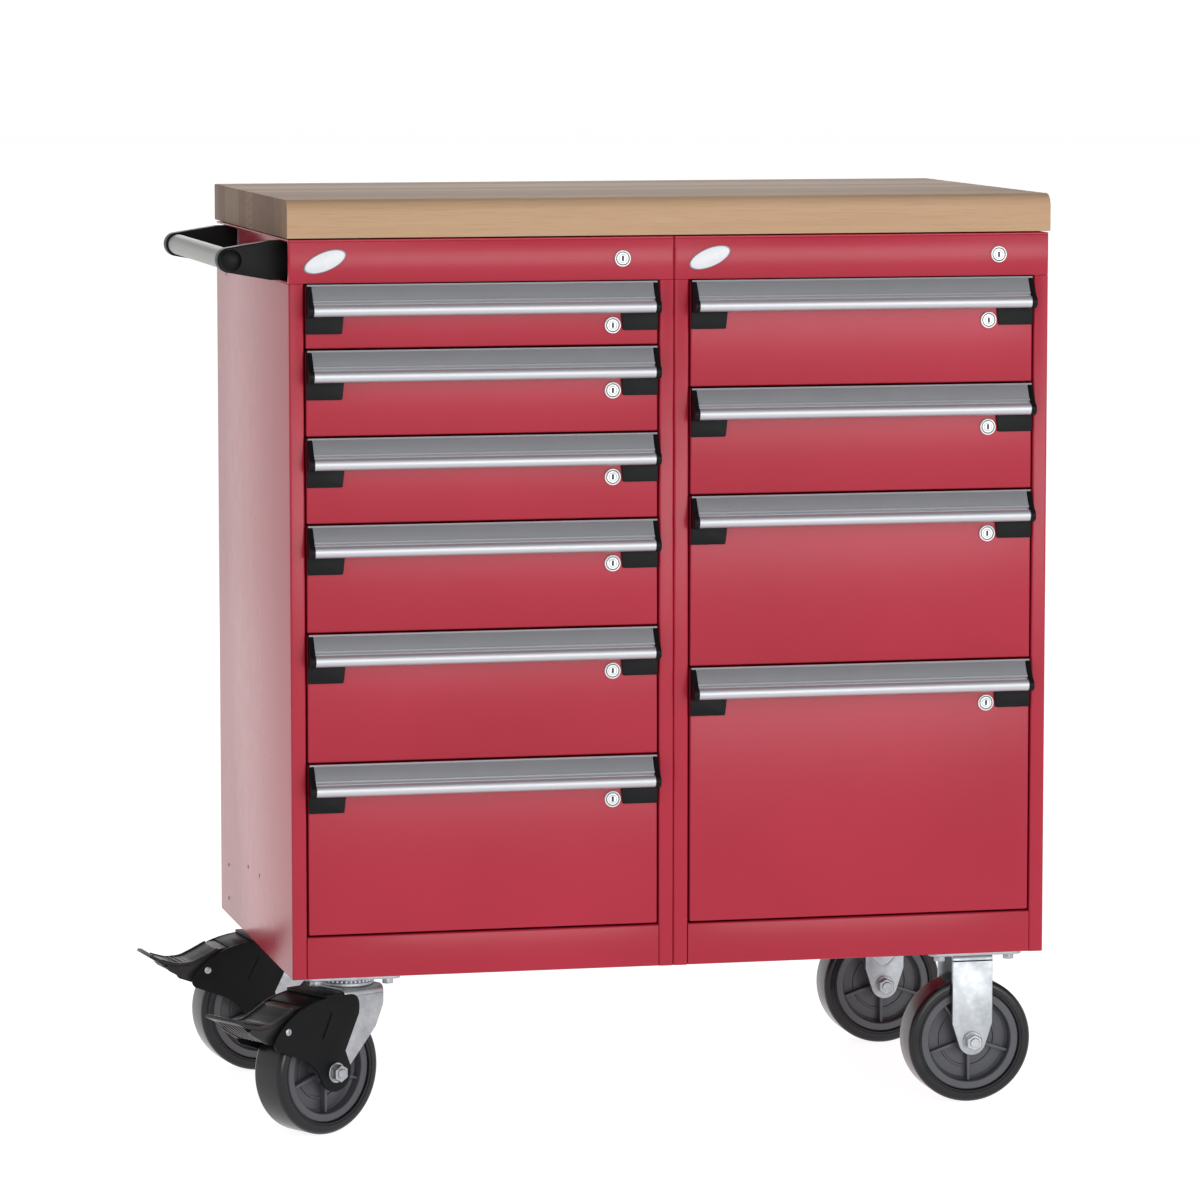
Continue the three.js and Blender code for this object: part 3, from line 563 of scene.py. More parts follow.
# %% Plastics and treads
def moulded(name, colour, lighter, roughness, grain=420.0, strength=0.2, gloss=0.5):
    plastic = Finish(name, colour, sum(roughness) / 2)
    broad = plastic.noise(30.0, 3.0)
    patches = plastic.between(broad, 0.0, 1.0, 0.3, 0.7)
    plastic.set("Base Color", plastic.mix(patches, colour, lighter))
    plastic.set("Roughness", plastic.between(broad, *roughness, 0.3, 0.7))
    plastic.bump(plastic.noise(grain, 3.0), strength, 0.15 * MM)
    plastic.shader.inputs["Specular IOR Level"].default_value = gloss
    return plastic.material


black_plastic = moulded("black_moulding", (0.003, 0.0034, 0.0042), (0.0048, 0.0052, 0.006),
                        (0.36, 0.46), gloss=0.12)
pedal_plastic = moulded("pedal_moulding", (0.012, 0.011, 0.012), (0.017, 0.0155, 0.0165),
                        (0.32, 0.42), gloss=0.34)
tread_rubber = moulded("cast_tread", (0.005, 0.005, 0.007), (0.008, 0.008, 0.010), (0.16, 0.26),
                       120.0, 0.06, 0.36)
core_plastic = moulded("grey_wheel_core", (0.05, 0.052, 0.061), (0.06, 0.062, 0.072), (0.38, 0.48))
badge_plastic = moulded("white_badge", (0.56, 0.57, 0.6), (0.6, 0.61, 0.64), (0.2, 0.3), 300.0,
                        0.03)
badge_edge = moulded("grey_badge_edge", (0.14, 0.15, 0.18), (0.18, 0.19, 0.22), (0.25, 0.35),
                     300.0, 0.03)
label_strip = moulded("label_strip", (0.19, 0.195, 0.21), (0.2, 0.205, 0.22), (0.38, 0.42),
                      260.0, 0.02)
# Painted shade: this near-black is laid as thin strips, discs and rings where holes, slots and
# grooves would show only shade.
painted_shade_black = moulded("painted_hole_shade", (0.01, 0.01, 0.011), (0.016, 0.016, 0.017), (0.5, 0.6))
print("plastics:", black_plastic.name, tread_rubber.name, core_plastic.name)

# %% [markdown]
# ## Where things stand
# All pieces are drawn in millimetres. The cabinets use one origin, the front left bottom corner
# of the whole housing, with X to the right, Y to the back and Z up. `piece` scales the mesh to
# metres and sets it down, so each object itself stays at the origin, unturned and unscaled. The
# sizes below are read from the frame, so the pieces follow it.

# %% Sizes read from the frame
SEAM = 0.3
HOME = corner - Vector((SEAM / 2, 0, 0)) * MM


def box_mm(node):
    """A frame node's lowest and highest corner, in millimetres from the housing's corner."""
    low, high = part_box(node)
    return (Vector(low) - HOME) / MM, (Vector(high) - HOME) / MM


SIDES = {"left": 6, "right": 4}
DRAWERS = [(side, number) for side, count in SIDES.items() for number in range(1, count + 1)]
SHEET = 1.5
INSIDE = 1.8
HOUSING_DEPTH = box_mm("left_cabinet_shell")[1].y
SIDE_TOP = box_mm("left_cabinet_shell")[1].z
RAIL_LOW, RAIL_HIGH = (end.z for end in box_mm("left_top_rail"))
RAIL_MIDDLE = (RAIL_LOW + RAIL_HIGH) / 2
POST_WIDTH = 17.5
POST_DEPTH = 24
CLEAR = 0.3
RIVET_HEIGHT = 0.7
BACK = HOUSING_DEPTH - RIVET_HEIGHT
print("housing depth", round(HOUSING_DEPTH, 1), "side top", round(SIDE_TOP, 1),
      "rail", round(RAIL_LOW, 1), round(RAIL_HIGH, 1))

# %% [markdown]
# ## What repeats
# Slots, ribs, spokes, bolts and balls come in rows or rings. One Geometry Nodes tree makes both:
# it puts copies of the unit on a line of points and turns each copy a step further. With no
# step the copies turn on the spot, which makes a ring; with no turn they make a straight row.
# The copies are made real and turned into a plain mesh before the frame sees them.

# %% The repeating tree
def repeating_tree():
    tree = bpy.data.node_groups.new("row_or_ring", "GeometryNodeTree")
    sockets = {}
    for name, kind in (("Geometry", "Geometry"), ("Count", "Int"), ("Step", "Vector"),
                       ("Turn", "Vector"), ("Material", "Material")):
        made = tree.interface.new_socket(name, in_out="INPUT", socket_type="NodeSocket" + kind)
        sockets[name] = made.identifier
    tree.interface.new_socket("Geometry", in_out="OUTPUT", socket_type="NodeSocketGeometry")
    enter = tree.nodes.new("NodeGroupInput").outputs
    line = tree.nodes.new("GeometryNodeMeshLine")
    index = tree.nodes.new("GeometryNodeInputIndex")
    turned = tree.nodes.new("ShaderNodeVectorMath")
    turned.operation = "SCALE"
    rotation = tree.nodes.new("FunctionNodeEulerToRotation")
    copies = tree.nodes.new("GeometryNodeInstanceOnPoints")
    real = tree.nodes.new("GeometryNodeRealizeInstances")
    finish = tree.nodes.new("GeometryNodeSetMaterial")
    leave = tree.nodes.new("NodeGroupOutput")
    for output, entry in (
            (enter["Count"], line.inputs["Count"]), (enter["Step"], line.inputs["Offset"]),
            (line.outputs["Mesh"], copies.inputs["Points"]),
            (enter["Geometry"], copies.inputs["Instance"]),
            (enter["Turn"], turned.inputs[0]), (index.outputs[0], turned.inputs["Scale"]),
            (turned.outputs[0], rotation.inputs[0]),
            (rotation.outputs[0], copies.inputs["Rotation"]),
            (copies.outputs[0], real.inputs[0]), (real.outputs[0], finish.inputs["Geometry"]),
            (enter["Material"], finish.inputs["Material"]),
            (finish.outputs[0], leave.inputs[0])):
        tree.links.new(output, entry)
    return tree, sockets


row_or_ring, tree_sockets = repeating_tree()


def repeated(name, bm, material, count, step=(0, 0, 0), turn=(0, 0, 0), bevel=0.0, place=None):
    """A unit drawn in millimetres, repeated in a row or a ring, as one plain mesh."""
    unit = piece(name, bm, material, bevel, place=Matrix.Identity(4))
    copies = unit.modifiers.new("copies", "NODES")
    copies.node_group = row_or_ring
    for key, value in (("Count", count), ("Step", tuple(s * MM for s in step)),
                       ("Turn", turn), ("Material", material)):
        copies[tree_sockets[key]] = value
    bake(unit)
    unit.data.transform(Matrix.Translation(HOME) if place is None else place)
    return unit


print("tree inputs:", tree_sockets)

# %% [markdown]
# ## The work top
# Hardwood staves are glued side by side, planed to one slab and moulded with a half-round along
# the front edge. A profile swept along X gives the slab, and small bevels break its other edges.

# %% Work top
top_low, top_high = box_mm("work_top")
TOP_EDGE_RADIUS = 15
section = rounded(
    [(top_low.y, top_low.z), (top_high.y, top_low.z), (top_high.y, top_high.z),
     (top_low.y, top_high.z)], [0, 0, 2.5, TOP_EDGE_RADIUS], steps=10, closed=True)
bm = bmesh.new()
add_prism(bm, section, "X", top_low.x, top_high.x)
fit(piece("butcher_block_top", bm, block_wood, bevel=1.2, segments=3, angle=40),
    "root", "wood", "work_top")
print("top", [round(v, 1) for v in (top_high - top_low)])

# %% [markdown]
# ## The cabinet shells
# One long sheet is folded round the cabinet: a post with a return at the front, the side, the
# back, the other side and the second post. Seen from above that is a single open path, so the
# sheet is a path with a thickness, swept upwards, with a small radius in each fold. The base
# rail is a channel between the posts, and its ends show as two fine upright joint lines.

# %% Shell sheets
SHELL_WIDTH = box_mm("left_cabinet_shell")[1].x - box_mm("left_cabinet_shell")[0].x
BASE_RAIL_TOP = 49.65
side_origin = {side: box_mm(f"{side}_cabinet_shell")[0].x for side in SIDES}


def shell(side):
    x0 = side_origin[side]
    x1 = x0 + SHELL_WIDTH
    bm = bmesh.new()
    add_sheet(bm, [(x0 + POST_WIDTH, POST_DEPTH), (x0 + POST_WIDTH, 0), (x0, 0),
                   (x0, BACK), (x1, BACK), (x1, 0), (x1 - POST_WIDTH, 0),
                   (x1 - POST_WIDTH, POST_DEPTH)], SHEET, "Z", 0, SIDE_TOP, radius=2.4)
    rail_start = x0 + POST_WIDTH + CLEAR
    rail_end = x1 - POST_WIDTH - CLEAR
    add_sheet(bm, [(POST_DEPTH, 0), (0, 0), (0, BASE_RAIL_TOP), (POST_DEPTH, BASE_RAIL_TOP)],
              SHEET, "X", rail_start, rail_end)
    add_box(bm, (x0 + INSIDE, POST_DEPTH + CLEAR, 0), (x1 - INSIDE, BACK - INSIDE, SHEET))
    return piece(f"{side}_shell_sheets", bm, red_paint, bevel=0.35, segments=2, angle=50)


for side in SIDES:
    fit(shell(side), "root", "red_paint", f"{side}_cabinet_shell")
print("shell width", round(SHELL_WIDTH, 2))

# %% [markdown]
# Inside, each side wall carries two hat-shaped uprights with a row of hook slots, and the slides'
# fixed channels hang on them. The slots are not cut: each is a short dark strip of painted shade,
# repeated down the upright.

# %% Uprights, fixed slides and back fasteners
UPRIGHT_FACE = 20
UPRIGHT_WIDTH = 30
UPRIGHT_INSET = 34
HOOK_SLOTS = 30
HOOK_PITCH = 25.4
SLIDE_RISE = 10.85
SLIDE_HEIGHT = 26
SLIDE_REACH = 28
SLIDE_FRONT = 28
SLIDE_BACK = HOUSING_DEPTH - UPRIGHT_INSET
SLIDE_SHEET = 1.2
BALL_RADIUS = 1.6
upright_y = (UPRIGHT_INSET, HOUSING_DEPTH - UPRIGHT_INSET - UPRIGHT_WIDTH)


def drawer_place(side, number):
    """Bottom and top of a drawer's front, in millimetres above the housing's bottom."""
    low, high = box_mm(f"{side}_drawer_{number}")
    return low.z, high.z


def channel(bm, web, reach, low, high, start, end, sign, origin):
    """A C-shaped channel along Y: web and reach are measured inwards from the cabinet's side."""
    points = [(origin + sign * reach, low), (origin + sign * web, low),
              (origin + sign * web, high), (origin + sign * reach, high)]
    inward = (reach > web) == (sign > 0)
    add_sheet(bm, points if inward else points[::-1], SLIDE_SHEET, "Y", start, end, radius=1.6,
              steps=3)


for side, count in SIDES.items():
    x0 = side_origin[side]
    hats = bmesh.new()
    channels = bmesh.new()
    for origin, sign in ((x0, 1), (x0 + SHELL_WIDTH, -1)):
        for y in upright_y:
            root, face = origin + sign * INSIDE, origin + sign * UPRIGHT_FACE
            path = [(root, y + UPRIGHT_WIDTH), (face, y + UPRIGHT_WIDTH), (face, y), (root, y)]
            add_sheet(hats, path if sign > 0 else path[::-1], SHEET, "Z", INSIDE, SIDE_TOP - 10)
        for number in range(1, count + 1):
            low = drawer_place(side, number)[0] + SLIDE_RISE
            channel(channels, UPRIGHT_FACE + CLEAR, SLIDE_REACH, low, low + SLIDE_HEIGHT,
                    SLIDE_FRONT, SLIDE_BACK, sign, origin)
    fit(piece(f"{side}_uprights", hats, red_paint, bevel=0.3, angle=50), "root", "red_paint")
    fit(piece(f"{side}_fixed_slides", channels, zinc, bevel=0.2, angle=50), "root", "zinc")
    for end, y in (("front", upright_y[0]), ("rear", upright_y[1])):
        for hand, x in (("left", x0 + UPRIGHT_FACE), ("right", x0 + SHELL_WIDTH - UPRIGHT_FACE)):
            # Painted shade: each hook slot is a thin dark strip that stands in for the shade
            # inside the slot.
            slot = bmesh.new()
            add_box(slot, (x - 0.2, y + 12, 30), (x + 0.2, y + 18, 42))
            fit(repeated(f"{side}_hook_slots_{end}_{hand}", slot, painted_shade_black, HOOK_SLOTS,
                         (0, 0, HOOK_PITCH)), "root", "black_plastic")
print("uprights at y", upright_y)

# %% [markdown]
# The back is fastened with a column of rivets near each edge. A few small round holes low in
# the sides, near the back, show where the cabinets can be bolted to a neighbour, and a short
# slot lies near the top. None of them is cut through the sheet: each is a thin dark disc or
# strip of painted shade at its surface.

# %% Rivets and holes
RIVET_RADIUS = 3.2
RIVET_INSET = 12
RIVET_LOWEST = 40
RIVETS = 8
RIVET_PITCH = 104
# Each row: distance from the front, height of the lowest hole, step upwards and number of holes.
SIDE_HOLES = ((472, 22, 42, 2), (320, 85, 42, 1), (236, 87, 42, 1))
HOLE_RADIUS = 2.4


def rivet_unit(x, z):
    """A low domed rivet head on the back sheet, drawn round the Y axis."""
    bm = bmesh.new()
    dome = [(1.0, 0.0), (0.92, 0.5), (0.6, 0.85), (0.0, 1.0)]
    profile = [(RIVET_RADIUS * r, RIVET_HEIGHT * y) for r, y in dome]
    add_turned(bm, [(0, -0.3), (RIVET_RADIUS, -0.3)] + profile, 20, (x, BACK, z))
    return bm


for side in SIDES:
    x0 = side_origin[side]
    for hand, x in (("left", x0 + RIVET_INSET), ("right", x0 + SHELL_WIDTH - RIVET_INSET)):
        fit(repeated(f"{side}_back_rivets_{hand}", rivet_unit(x, RIVET_LOWEST), zinc, RIVETS,
                     (0, 0, RIVET_PITCH)), "root", "zinc")


def hole_shade_unit(x, y, z):
    """Painted shade in the mouth of a small hole in a side wall: a thin dark disc facing along X.
    """
    bm = bmesh.new()
    add_turned(bm, [(0, -0.15), (HOLE_RADIUS, -0.15), (HOLE_RADIUS, 0.15), (0, 0.15)], 20)
    turn = Matrix.Rotation(math.pi / 2, 4, "Z")
    bmesh.ops.transform(bm, matrix=Matrix.Translation((x, y, z)) @ turn, verts=bm.verts)
    return bm


for hand, x in (("left", side_origin["left"]), ("right", side_origin["right"] + SHELL_WIDTH)):
    for k, (y, z, step, count) in enumerate(SIDE_HOLES):
        fit(repeated(f"side_hole_shades_{hand}_{k}", hole_shade_unit(x, y, z), painted_shade_black, count,
                     (0, 0, step)), "root", "black_plastic")
    # Painted shade for the short slot near the top: a thin dark strip on the side wall.
    bm = bmesh.new()
    add_box(bm, (x - 0.2, 457, SIDE_TOP - 13), (x + 0.2, 459, SIDE_TOP - 6))
    fit(piece(f"side_slot_shade_{hand}", bm, painted_shade_black, bevel=0.1), "root", "black_plastic")
print("rivets", 2 * len(SIDES), "columns")

# %% [markdown]
# ## The top rails
# Each cabinet is closed by a rail: a folded front with short returns round both corners, a thick
# plate on top, and side walls set in by 15 mm. The step leaves a channel below the plate where
# the push handle is bolted on. The side walls are L-shaped sheets swept along Y.

# %% Top rails
RAIL_RECESS = 15
RAIL_RETURN = 9
FLANGE = 2.5
FLANGE_FOOT = RAIL_HIGH - FLANGE - 0.05


def rail(side):
    x0 = side_origin[side]
    x1 = x0 + SHELL_WIDTH
    bm = bmesh.new()
    inset = RAIL_RECESS - CLEAR
    add_sheet(bm, [(x1 - inset, RAIL_RETURN), (x1, RAIL_RETURN), (x1, 0), (x0, 0),
                   (x0, RAIL_RETURN), (x0 + inset, RAIL_RETURN)], SHEET, "Z", RAIL_LOW,
              FLANGE_FOOT, radius=2.4)
    add_prism(bm, rounded([(x0, 0), (x1, 0), (x1, BACK), (x0, BACK)], 2.4, 5, True), "Z",
              RAIL_HIGH - FLANGE, RAIL_HIGH)
    for origin, sign in ((x0, 1), (x1, -1)):
        path = [(origin + sign * 0.2, RAIL_LOW + SHEET),
                (origin + sign * RAIL_RECESS, RAIL_LOW + SHEET),
                (origin + sign * RAIL_RECESS, FLANGE_FOOT)]
        add_sheet(bm, path if sign > 0 else path[::-1], SHEET, "Y", RAIL_RETURN + CLEAR, BACK)
    left, right = x0 + RAIL_RECESS + 2, x1 - RAIL_RECESS - 2
    add_box(bm, (left, INSIDE, RAIL_LOW), (right, POST_DEPTH, RAIL_LOW + SHEET))
    add_box(bm, (left, BACK - SHEET, RAIL_LOW), (right, BACK, FLANGE_FOOT))
    return piece(f"{side}_rail_sheets", bm, red_paint, bevel=0.4, segments=2, angle=50)


for side in SIDES:
    fit(rail(side), "root", "red_paint", f"{side}_top_rail")
print("rails", round(RAIL_HIGH - RAIL_LOW, 1), "high")

# %% [markdown]
# Thin packing strips lie between the steel and the wooden top. They leave the narrow dark slot
# that shows all round under the slab.

# %% Packing strips
STRIPS_AT = (60, 440, 480, 850)
STRIP_WIDTH = 30
STRIP_INSET = 12
strips = bmesh.new()
for x in STRIPS_AT:
    add_box(strips, (x, STRIP_INSET, RAIL_HIGH),
            (x + STRIP_WIDTH, BACK - STRIP_INSET, top_low.z))
fit(piece("packing_strips", strips, black_plastic, bevel=0.2), "root", "black_plastic")
print("strips fill", round(top_low.z - RAIL_HIGH, 2), "mm")

# %% [markdown]
# ## The drawers
# A drawer is made of two folded sheets. The front is a shallow pan, open to the back, whose
# folds are rounded; here a box without its back is bevelled along the folds and then thickened.
# The tray is a U-shaped sheet swept along Y, with its upper edges folded outwards, closed by a
# back wall and carrying a row of divider ribs.

# %% Drawer fronts and trays
FRONT_DEPTH = 18
FRONT_GAP = 2.3
FOLD_RADIUS = 1.7
TRAY_SIDE = 35
TRAY_TOP_GAP = 16
TRAY_FLOOR_GAP = 8
TRAY_FRONT = FRONT_DEPTH - SHEET
TRAY_BACK = TRAY_FRONT + 457.2
HEM = 4
RIBS = 17
RIB_PITCH = 25.4


def add_pan(bm, low, high, radius, thickness):
    """A pan open to the back: five faces, their shared edges rounded, thickened inwards."""
    x0, y0, z0 = low
    x1, y1, z1 = high
    v = [bm.verts.new(p) for p in (
        (x0, y0, z0), (x1, y0, z0), (x1, y0, z1), (x0, y0, z1),
        (x0, y1, z0), (x1, y1, z0), (x1, y1, z1), (x0, y1, z1))]
    for ring in ((0, 1, 2, 3), (1, 5, 6, 2), (3, 2, 6, 7), (4, 0, 3, 7), (4, 5, 1, 0)):
        bm.faces.new([v[i] for i in ring])
    folds = [e for e in bm.edges if len(e.link_faces) == 2]
    bmesh.ops.bevel(bm, geom=folds, offset=radius, segments=4, profile=0.5, affect="EDGES",
                    clamp_overlap=True)
    faces = list(bm.faces)
    bmesh.ops.recalc_face_normals(bm, faces=faces)
    if faces[0].normal.dot(faces[0].calc_center_median() - Vector(low).lerp(high, 0.5)) < 0:
        bmesh.ops.reverse_faces(bm, faces=faces)
    bmesh.ops.solidify(bm, geom=faces, thickness=thickness)


def front_edges(side):
    """Where the drawer fronts of one cabinet begin and end along X."""
    x0 = side_origin[side]
    return x0 + POST_WIDTH + FRONT_GAP, x0 + SHELL_WIDTH - POST_WIDTH - FRONT_GAP


def drawer_front(side, number):
    low, high = box_mm(f"{side}_drawer_{number}")
    x0, x1 = front_edges(side)
    bm = bmesh.new()
    add_pan(bm, (x0, 0, low.z), (x1, FRONT_DEPTH - 1.6, high.z), FOLD_RADIUS, SHEET)
    return piece(f"{side}_drawer_{number}_front", bm, red_paint)


def drawer_tray(side, number):
    low, high = box_mm(f"{side}_drawer_{number}")
    x0 = side_origin[side]
    left = x0 + TRAY_SIDE
    right = x0 + SHELL_WIDTH - TRAY_SIDE
    floor = low.z + TRAY_FLOOR_GAP
    rim = high.z - TRAY_TOP_GAP
    bm = bmesh.new()
    add_sheet(bm, [(left - HEM, rim), (left + SHEET, rim), (left + SHEET, floor + SHEET),
                   (right - SHEET, floor + SHEET), (right - SHEET, rim), (right + HEM, rim)],
              SHEET, "Y", FRONT_DEPTH - 1.2, TRAY_BACK)
    add_box(bm, (left + INSIDE, TRAY_BACK - SHEET, floor + INSIDE),
            (right - INSIDE, TRAY_BACK, rim))
    add_box(bm, (left + INSIDE, FRONT_DEPTH - 1.2, floor + INSIDE),
            (right - INSIDE, FRONT_DEPTH + 0.3, high.z - 2))
    return piece(f"{side}_drawer_{number}_tray", bm, red_paint, bevel=0.3, angle=50)


def divider_ribs(side, number):
    low, high = box_mm(f"{side}_drawer_{number}")
    x0 = side_origin[side]
    bottom = low.z + TRAY_FLOOR_GAP + 8
    top = high.z - TRAY_TOP_GAP - 7
    bm = bmesh.new()
    for x, sign in ((x0 + TRAY_SIDE + SHEET, 1), (x0 + SHELL_WIDTH - TRAY_SIDE - SHEET, -1)):
        outline = [(x - sign * 0.3, 38), (x + sign * 0.8, 39), (x + sign * 0.8, 41),
                   (x - sign * 0.3, 42)]
        add_prism(bm, outline, "Z", bottom, top)
    return repeated(f"{side}_drawer_{number}_ribs", bm, red_paint, RIBS, (0, RIB_PITCH, 0))


for side, number in DRAWERS:
    name = f"{side}_drawer_{number}"
    fit(drawer_front(side, number), name, "red_paint", name)
    fit(drawer_tray(side, number), name, "red_paint", name)
    fit(divider_ribs(side, number), name, "red_paint")
print("drawers made:", len(DRAWERS))

# %% [markdown]
# Full-extension slides are telescopes of three channels. The inner one is riveted to the tray.
# The middle one travels half as far as the drawer; here it is given to no body, so it stays
# where it is made. Each middle channel carries a row of steel balls, which stay with it.

# %% Slides
BALL_COUNT = 11
BALL_PITCH = 38

for side, number in DRAWERS:
    x0 = side_origin[side]
    name = f"{side}_drawer_{number}"
    low = drawer_place(side, number)[0] + SLIDE_RISE
    inner = bmesh.new()
    middle = bmesh.new()
    ball = bmesh.new()
    for origin, sign in ((x0, 1), (x0 + SHELL_WIDTH, -1)):
        channel(inner, TRAY_SIDE - 0.1, 26.5, low + 8.5, low + 17.5, SLIDE_FRONT, TRAY_BACK, sign,
                origin)
        channel(middle, 22.6, 30, low + 5, low + 21, SLIDE_FRONT + 2, TRAY_BACK - 6, sign, origin)
        for z in (low + 3.1, low + 22.9):
            bmesh.ops.create_uvsphere(
                ball, u_segments=10, v_segments=6, radius=BALL_RADIUS,
                matrix=Matrix.Translation((origin + sign * 25.5, SLIDE_FRONT + 16, z)))
    fit(piece(f"{name}_inner_slides", inner, zinc, bevel=0.2, angle=50), name, "zinc")
    channels = piece(f"{name}_middle_slides", middle, zinc, bevel=0.2, angle=50)
    balls = repeated(f"{name}_slide_balls", ball, lock_metal, BALL_COUNT, (0, BALL_PITCH, 0))
    for made, slot_name in ((channels, "zinc"), (balls, "lock_chrome")):
        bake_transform(made)
        made_pieces.append(made)
print("slides of", len(DRAWERS), "drawers")

# %% [markdown]
# ## The pulls
# Every drawer has a full-width aluminium extrusion with a slanted channel for a label and a
# rounded finger lip below it. The profile is drawn once, point by point, and swept along X. A
# smooth strip lies in the label channel, and a black moulded cap with a hanging tab closes each
# end of the extrusion.

# %% Pull profile and end caps
LEAN = Vector((-14.5, -23.5)).normalized()
OUTWARD = Vector((LEAN.y, -LEAN.x))
FACE_LENGTH = 23.5
BORDER = 2.2
BORDER_RISE = 0.9
FOOT = -2.3
LIP_CENTRE = Vector((-16.0, -29.2))
LIP_RADIUS = 6.9
CAP_WIDTH = 6.5
TAB_WIDTH = 44.5
TAB_DROP = 57
TAB_THICKNESS = 3


def on_face(along, rise=0.0):
    """A point of the profile: some way down the slanted face and some way off it."""
    return tuple(Vector((FOOT, 0)) + LEAN * along + OUTWARD * rise)


def arc(centre, radius, start, end, steps):
    """Points on an arc, its two angles given in parts of a half turn."""
    turns = [math.pi * (start + (end - start) * k / steps) for k in range(steps + 1)]
    return [(centre[0] + radius * math.cos(t), centre[1] + radius * math.sin(t)) for t in turns]


pull_profile = [
    (-CLEAR, 0), on_face(0), on_face(0.2, BORDER_RISE), on_face(BORDER, BORDER_RISE),
    on_face(BORDER + 0.3), on_face(FACE_LENGTH - BORDER - 0.3),
    on_face(FACE_LENGTH - BORDER, BORDER_RISE), on_face(FACE_LENGTH - 0.2, BORDER_RISE),
    on_face(FACE_LENGTH), (-14.0, -21.9)]
pull_profile += arc(LIP_CENTRE, LIP_RADIUS, 0.42, 2.3, 28)
pull_profile += [(FOOT, -3.9), (FOOT, -14), (-CLEAR, -14)]
cap_profile = [(-CLEAR, 0.4), (-2.7, 0.4), (-17.2, -21.5)]
cap_profile += arc(LIP_CENTRE, LIP_RADIUS + 0.7, 0.62, 1.55, 14)
cap_profile += [(-CLEAR - TAB_THICKNESS, -36.8), (-CLEAR, -36.8)]


def shifted(outline, dy, dz):
    return [(y + dy, z + dz) for y, z in outline]


def pull_body(name, x0, x1, top):
    bm = bmesh.new()
    add_prism(bm, shifted(pull_profile, 0, top), "X", x0 + 1, x1 - 1)
    return piece(f"{name}_extrusion", bm, pull_metal, angle=28)


def label(name, x0, x1, top):
    bm = bmesh.new()
    strip = [on_face(BORDER + 0.5, 0.05), on_face(FACE_LENGTH - BORDER - 0.5, 0.05),
             on_face(FACE_LENGTH - BORDER - 0.6, 0.5), on_face(BORDER + 0.6, 0.5)]
    add_prism(bm, shifted(strip, 0, top), "X", x0 + CAP_WIDTH + 0.6, x1 - CAP_WIDTH - 0.6)
    return piece(f"{name}_label", bm, label_strip, bevel=0.12)


def end_caps(name, x0, x1, top):
    bm = bmesh.new()
    for edge, sign in ((x0, 1), (x1, -1)):
        add_prism(bm, shifted(cap_profile, 0, top), "X", edge, edge + sign * CAP_WIDTH)
        tab = rounded([(edge, top - 33), (edge + sign * TAB_WIDTH, top - 33),
                       (edge + sign * (TAB_WIDTH - 2.5), top - TAB_DROP),
                       (edge, top - TAB_DROP)], [0, 0, 2, 1.2], 4, True)
        add_prism(bm, tab, "Y", -CLEAR - TAB_THICKNESS + 0.3, -CLEAR)
    return piece(f"{name}_end_caps", bm, black_plastic, bevel=0.7, segments=3)


for side, number in DRAWERS:
    x0, x1 = front_edges(side)
    body = f"{side}_drawer_{number}"
    node = f"{body}_pull"
    top = drawer_place(side, number)[1]
    fit(pull_body(node, x0, x1, top), body, "aluminium", node)
    fit(label(node, x0, x1, top), body, "aluminium", node)
    fit(end_caps(node, x0, x1, top), body, "black_plastic", node)
print("pull face", round(FACE_LENGTH, 1), "mm long")

# %% [markdown]
# ## The locks
# A tubular key lock shows as a bright ring with a stepped face. The plug inside it has a key
# slot, which is cut once with a Boolean and copied to all twelve locks; its cam hangs behind
# the sheet and swings out with a quarter turn. A dark ring of painted shade lies in the ring's
# groove, and a dark box of painted shade in the key slot.

# %% Lock rings and plugs
LOCK_RADIUS = 9.75
PLUG_RADIUS = 4.6
LOCK_BODY = 10
KEY_SLOT = (2.6, 6.2, 3)
MAIN_LOCK_FROM_SIDE = 62
LOCK_FROM_SIDE = 74
LOCK_DROP = 51

ring_profile = [
    (4.9, -2.0), (5.3, -2.3), (6.8, -2.3), (7.1, -1.7), (7.9, -1.7), (8.3, -2.6), (9.1, -2.6),
    (9.6, -2.1), (LOCK_RADIUS, -1.4), (LOCK_RADIUS, 0), (8.6, 0.1), (8.6, LOCK_BODY),
    (4.9, LOCK_BODY)]
plug_profile = [(0, -2.4), (4.2, -2.4), (PLUG_RADIUS, -2.1), (PLUG_RADIUS, 12.3), (0, 12.3)]
cam_outline = rounded([(-4.5, -17), (4.5, -17), (4.5, 4.5), (-4.5, 4.5)], [4, 4, 1, 1], 5, True)


def cut_plug():
    """The plug with its key slot, drawn round the plug's own axis."""
    bm = bmesh.new()
    add_turned(bm, plug_profile, 32)
    plug = piece("plug_blank", bm, lock_metal, place=Matrix.Identity(4))
    width, height, depth = KEY_SLOT
    bm = bmesh.new()
    add_box(bm, (-width / 2, -4, -height / 2), (width / 2, -2.4 + depth, height / 2))
    cutter = piece("key_cutter", bm, painted_shade_black, place=Matrix.Identity(4))
    cut(plug, cutter)
    mesh = plug.data
    bpy.data.objects.remove(plug)
    return mesh


plug_mesh = cut_plug()


def keyway_shade(name, x, z):
    """Painted shade inside the key slot: a thin dark box set into the slot."""
    width, height = KEY_SLOT[:2]
    bm = bmesh.new()
    add_box(bm, (x - width / 2 + 0.05, -1.7, z - height / 2 + 0.05),
            (x + width / 2 - 0.05, -1.2, z + height / 2 - 0.05))
    return piece(f"{name}_keyway", bm, painted_shade_black, bevel=0.1)


def groove_shade_ring(name, x, z):
    """Painted shade in the ring's groove: a thin dark ring laid in it."""
    bm = bmesh.new()
    add_turned(bm, [(7.1, -1.95), (7.95, -1.95), (7.95, -1.5), (7.1, -1.5)], 56, (x, 0, z))
    return piece(f"{name}_groove", bm, painted_shade_black)


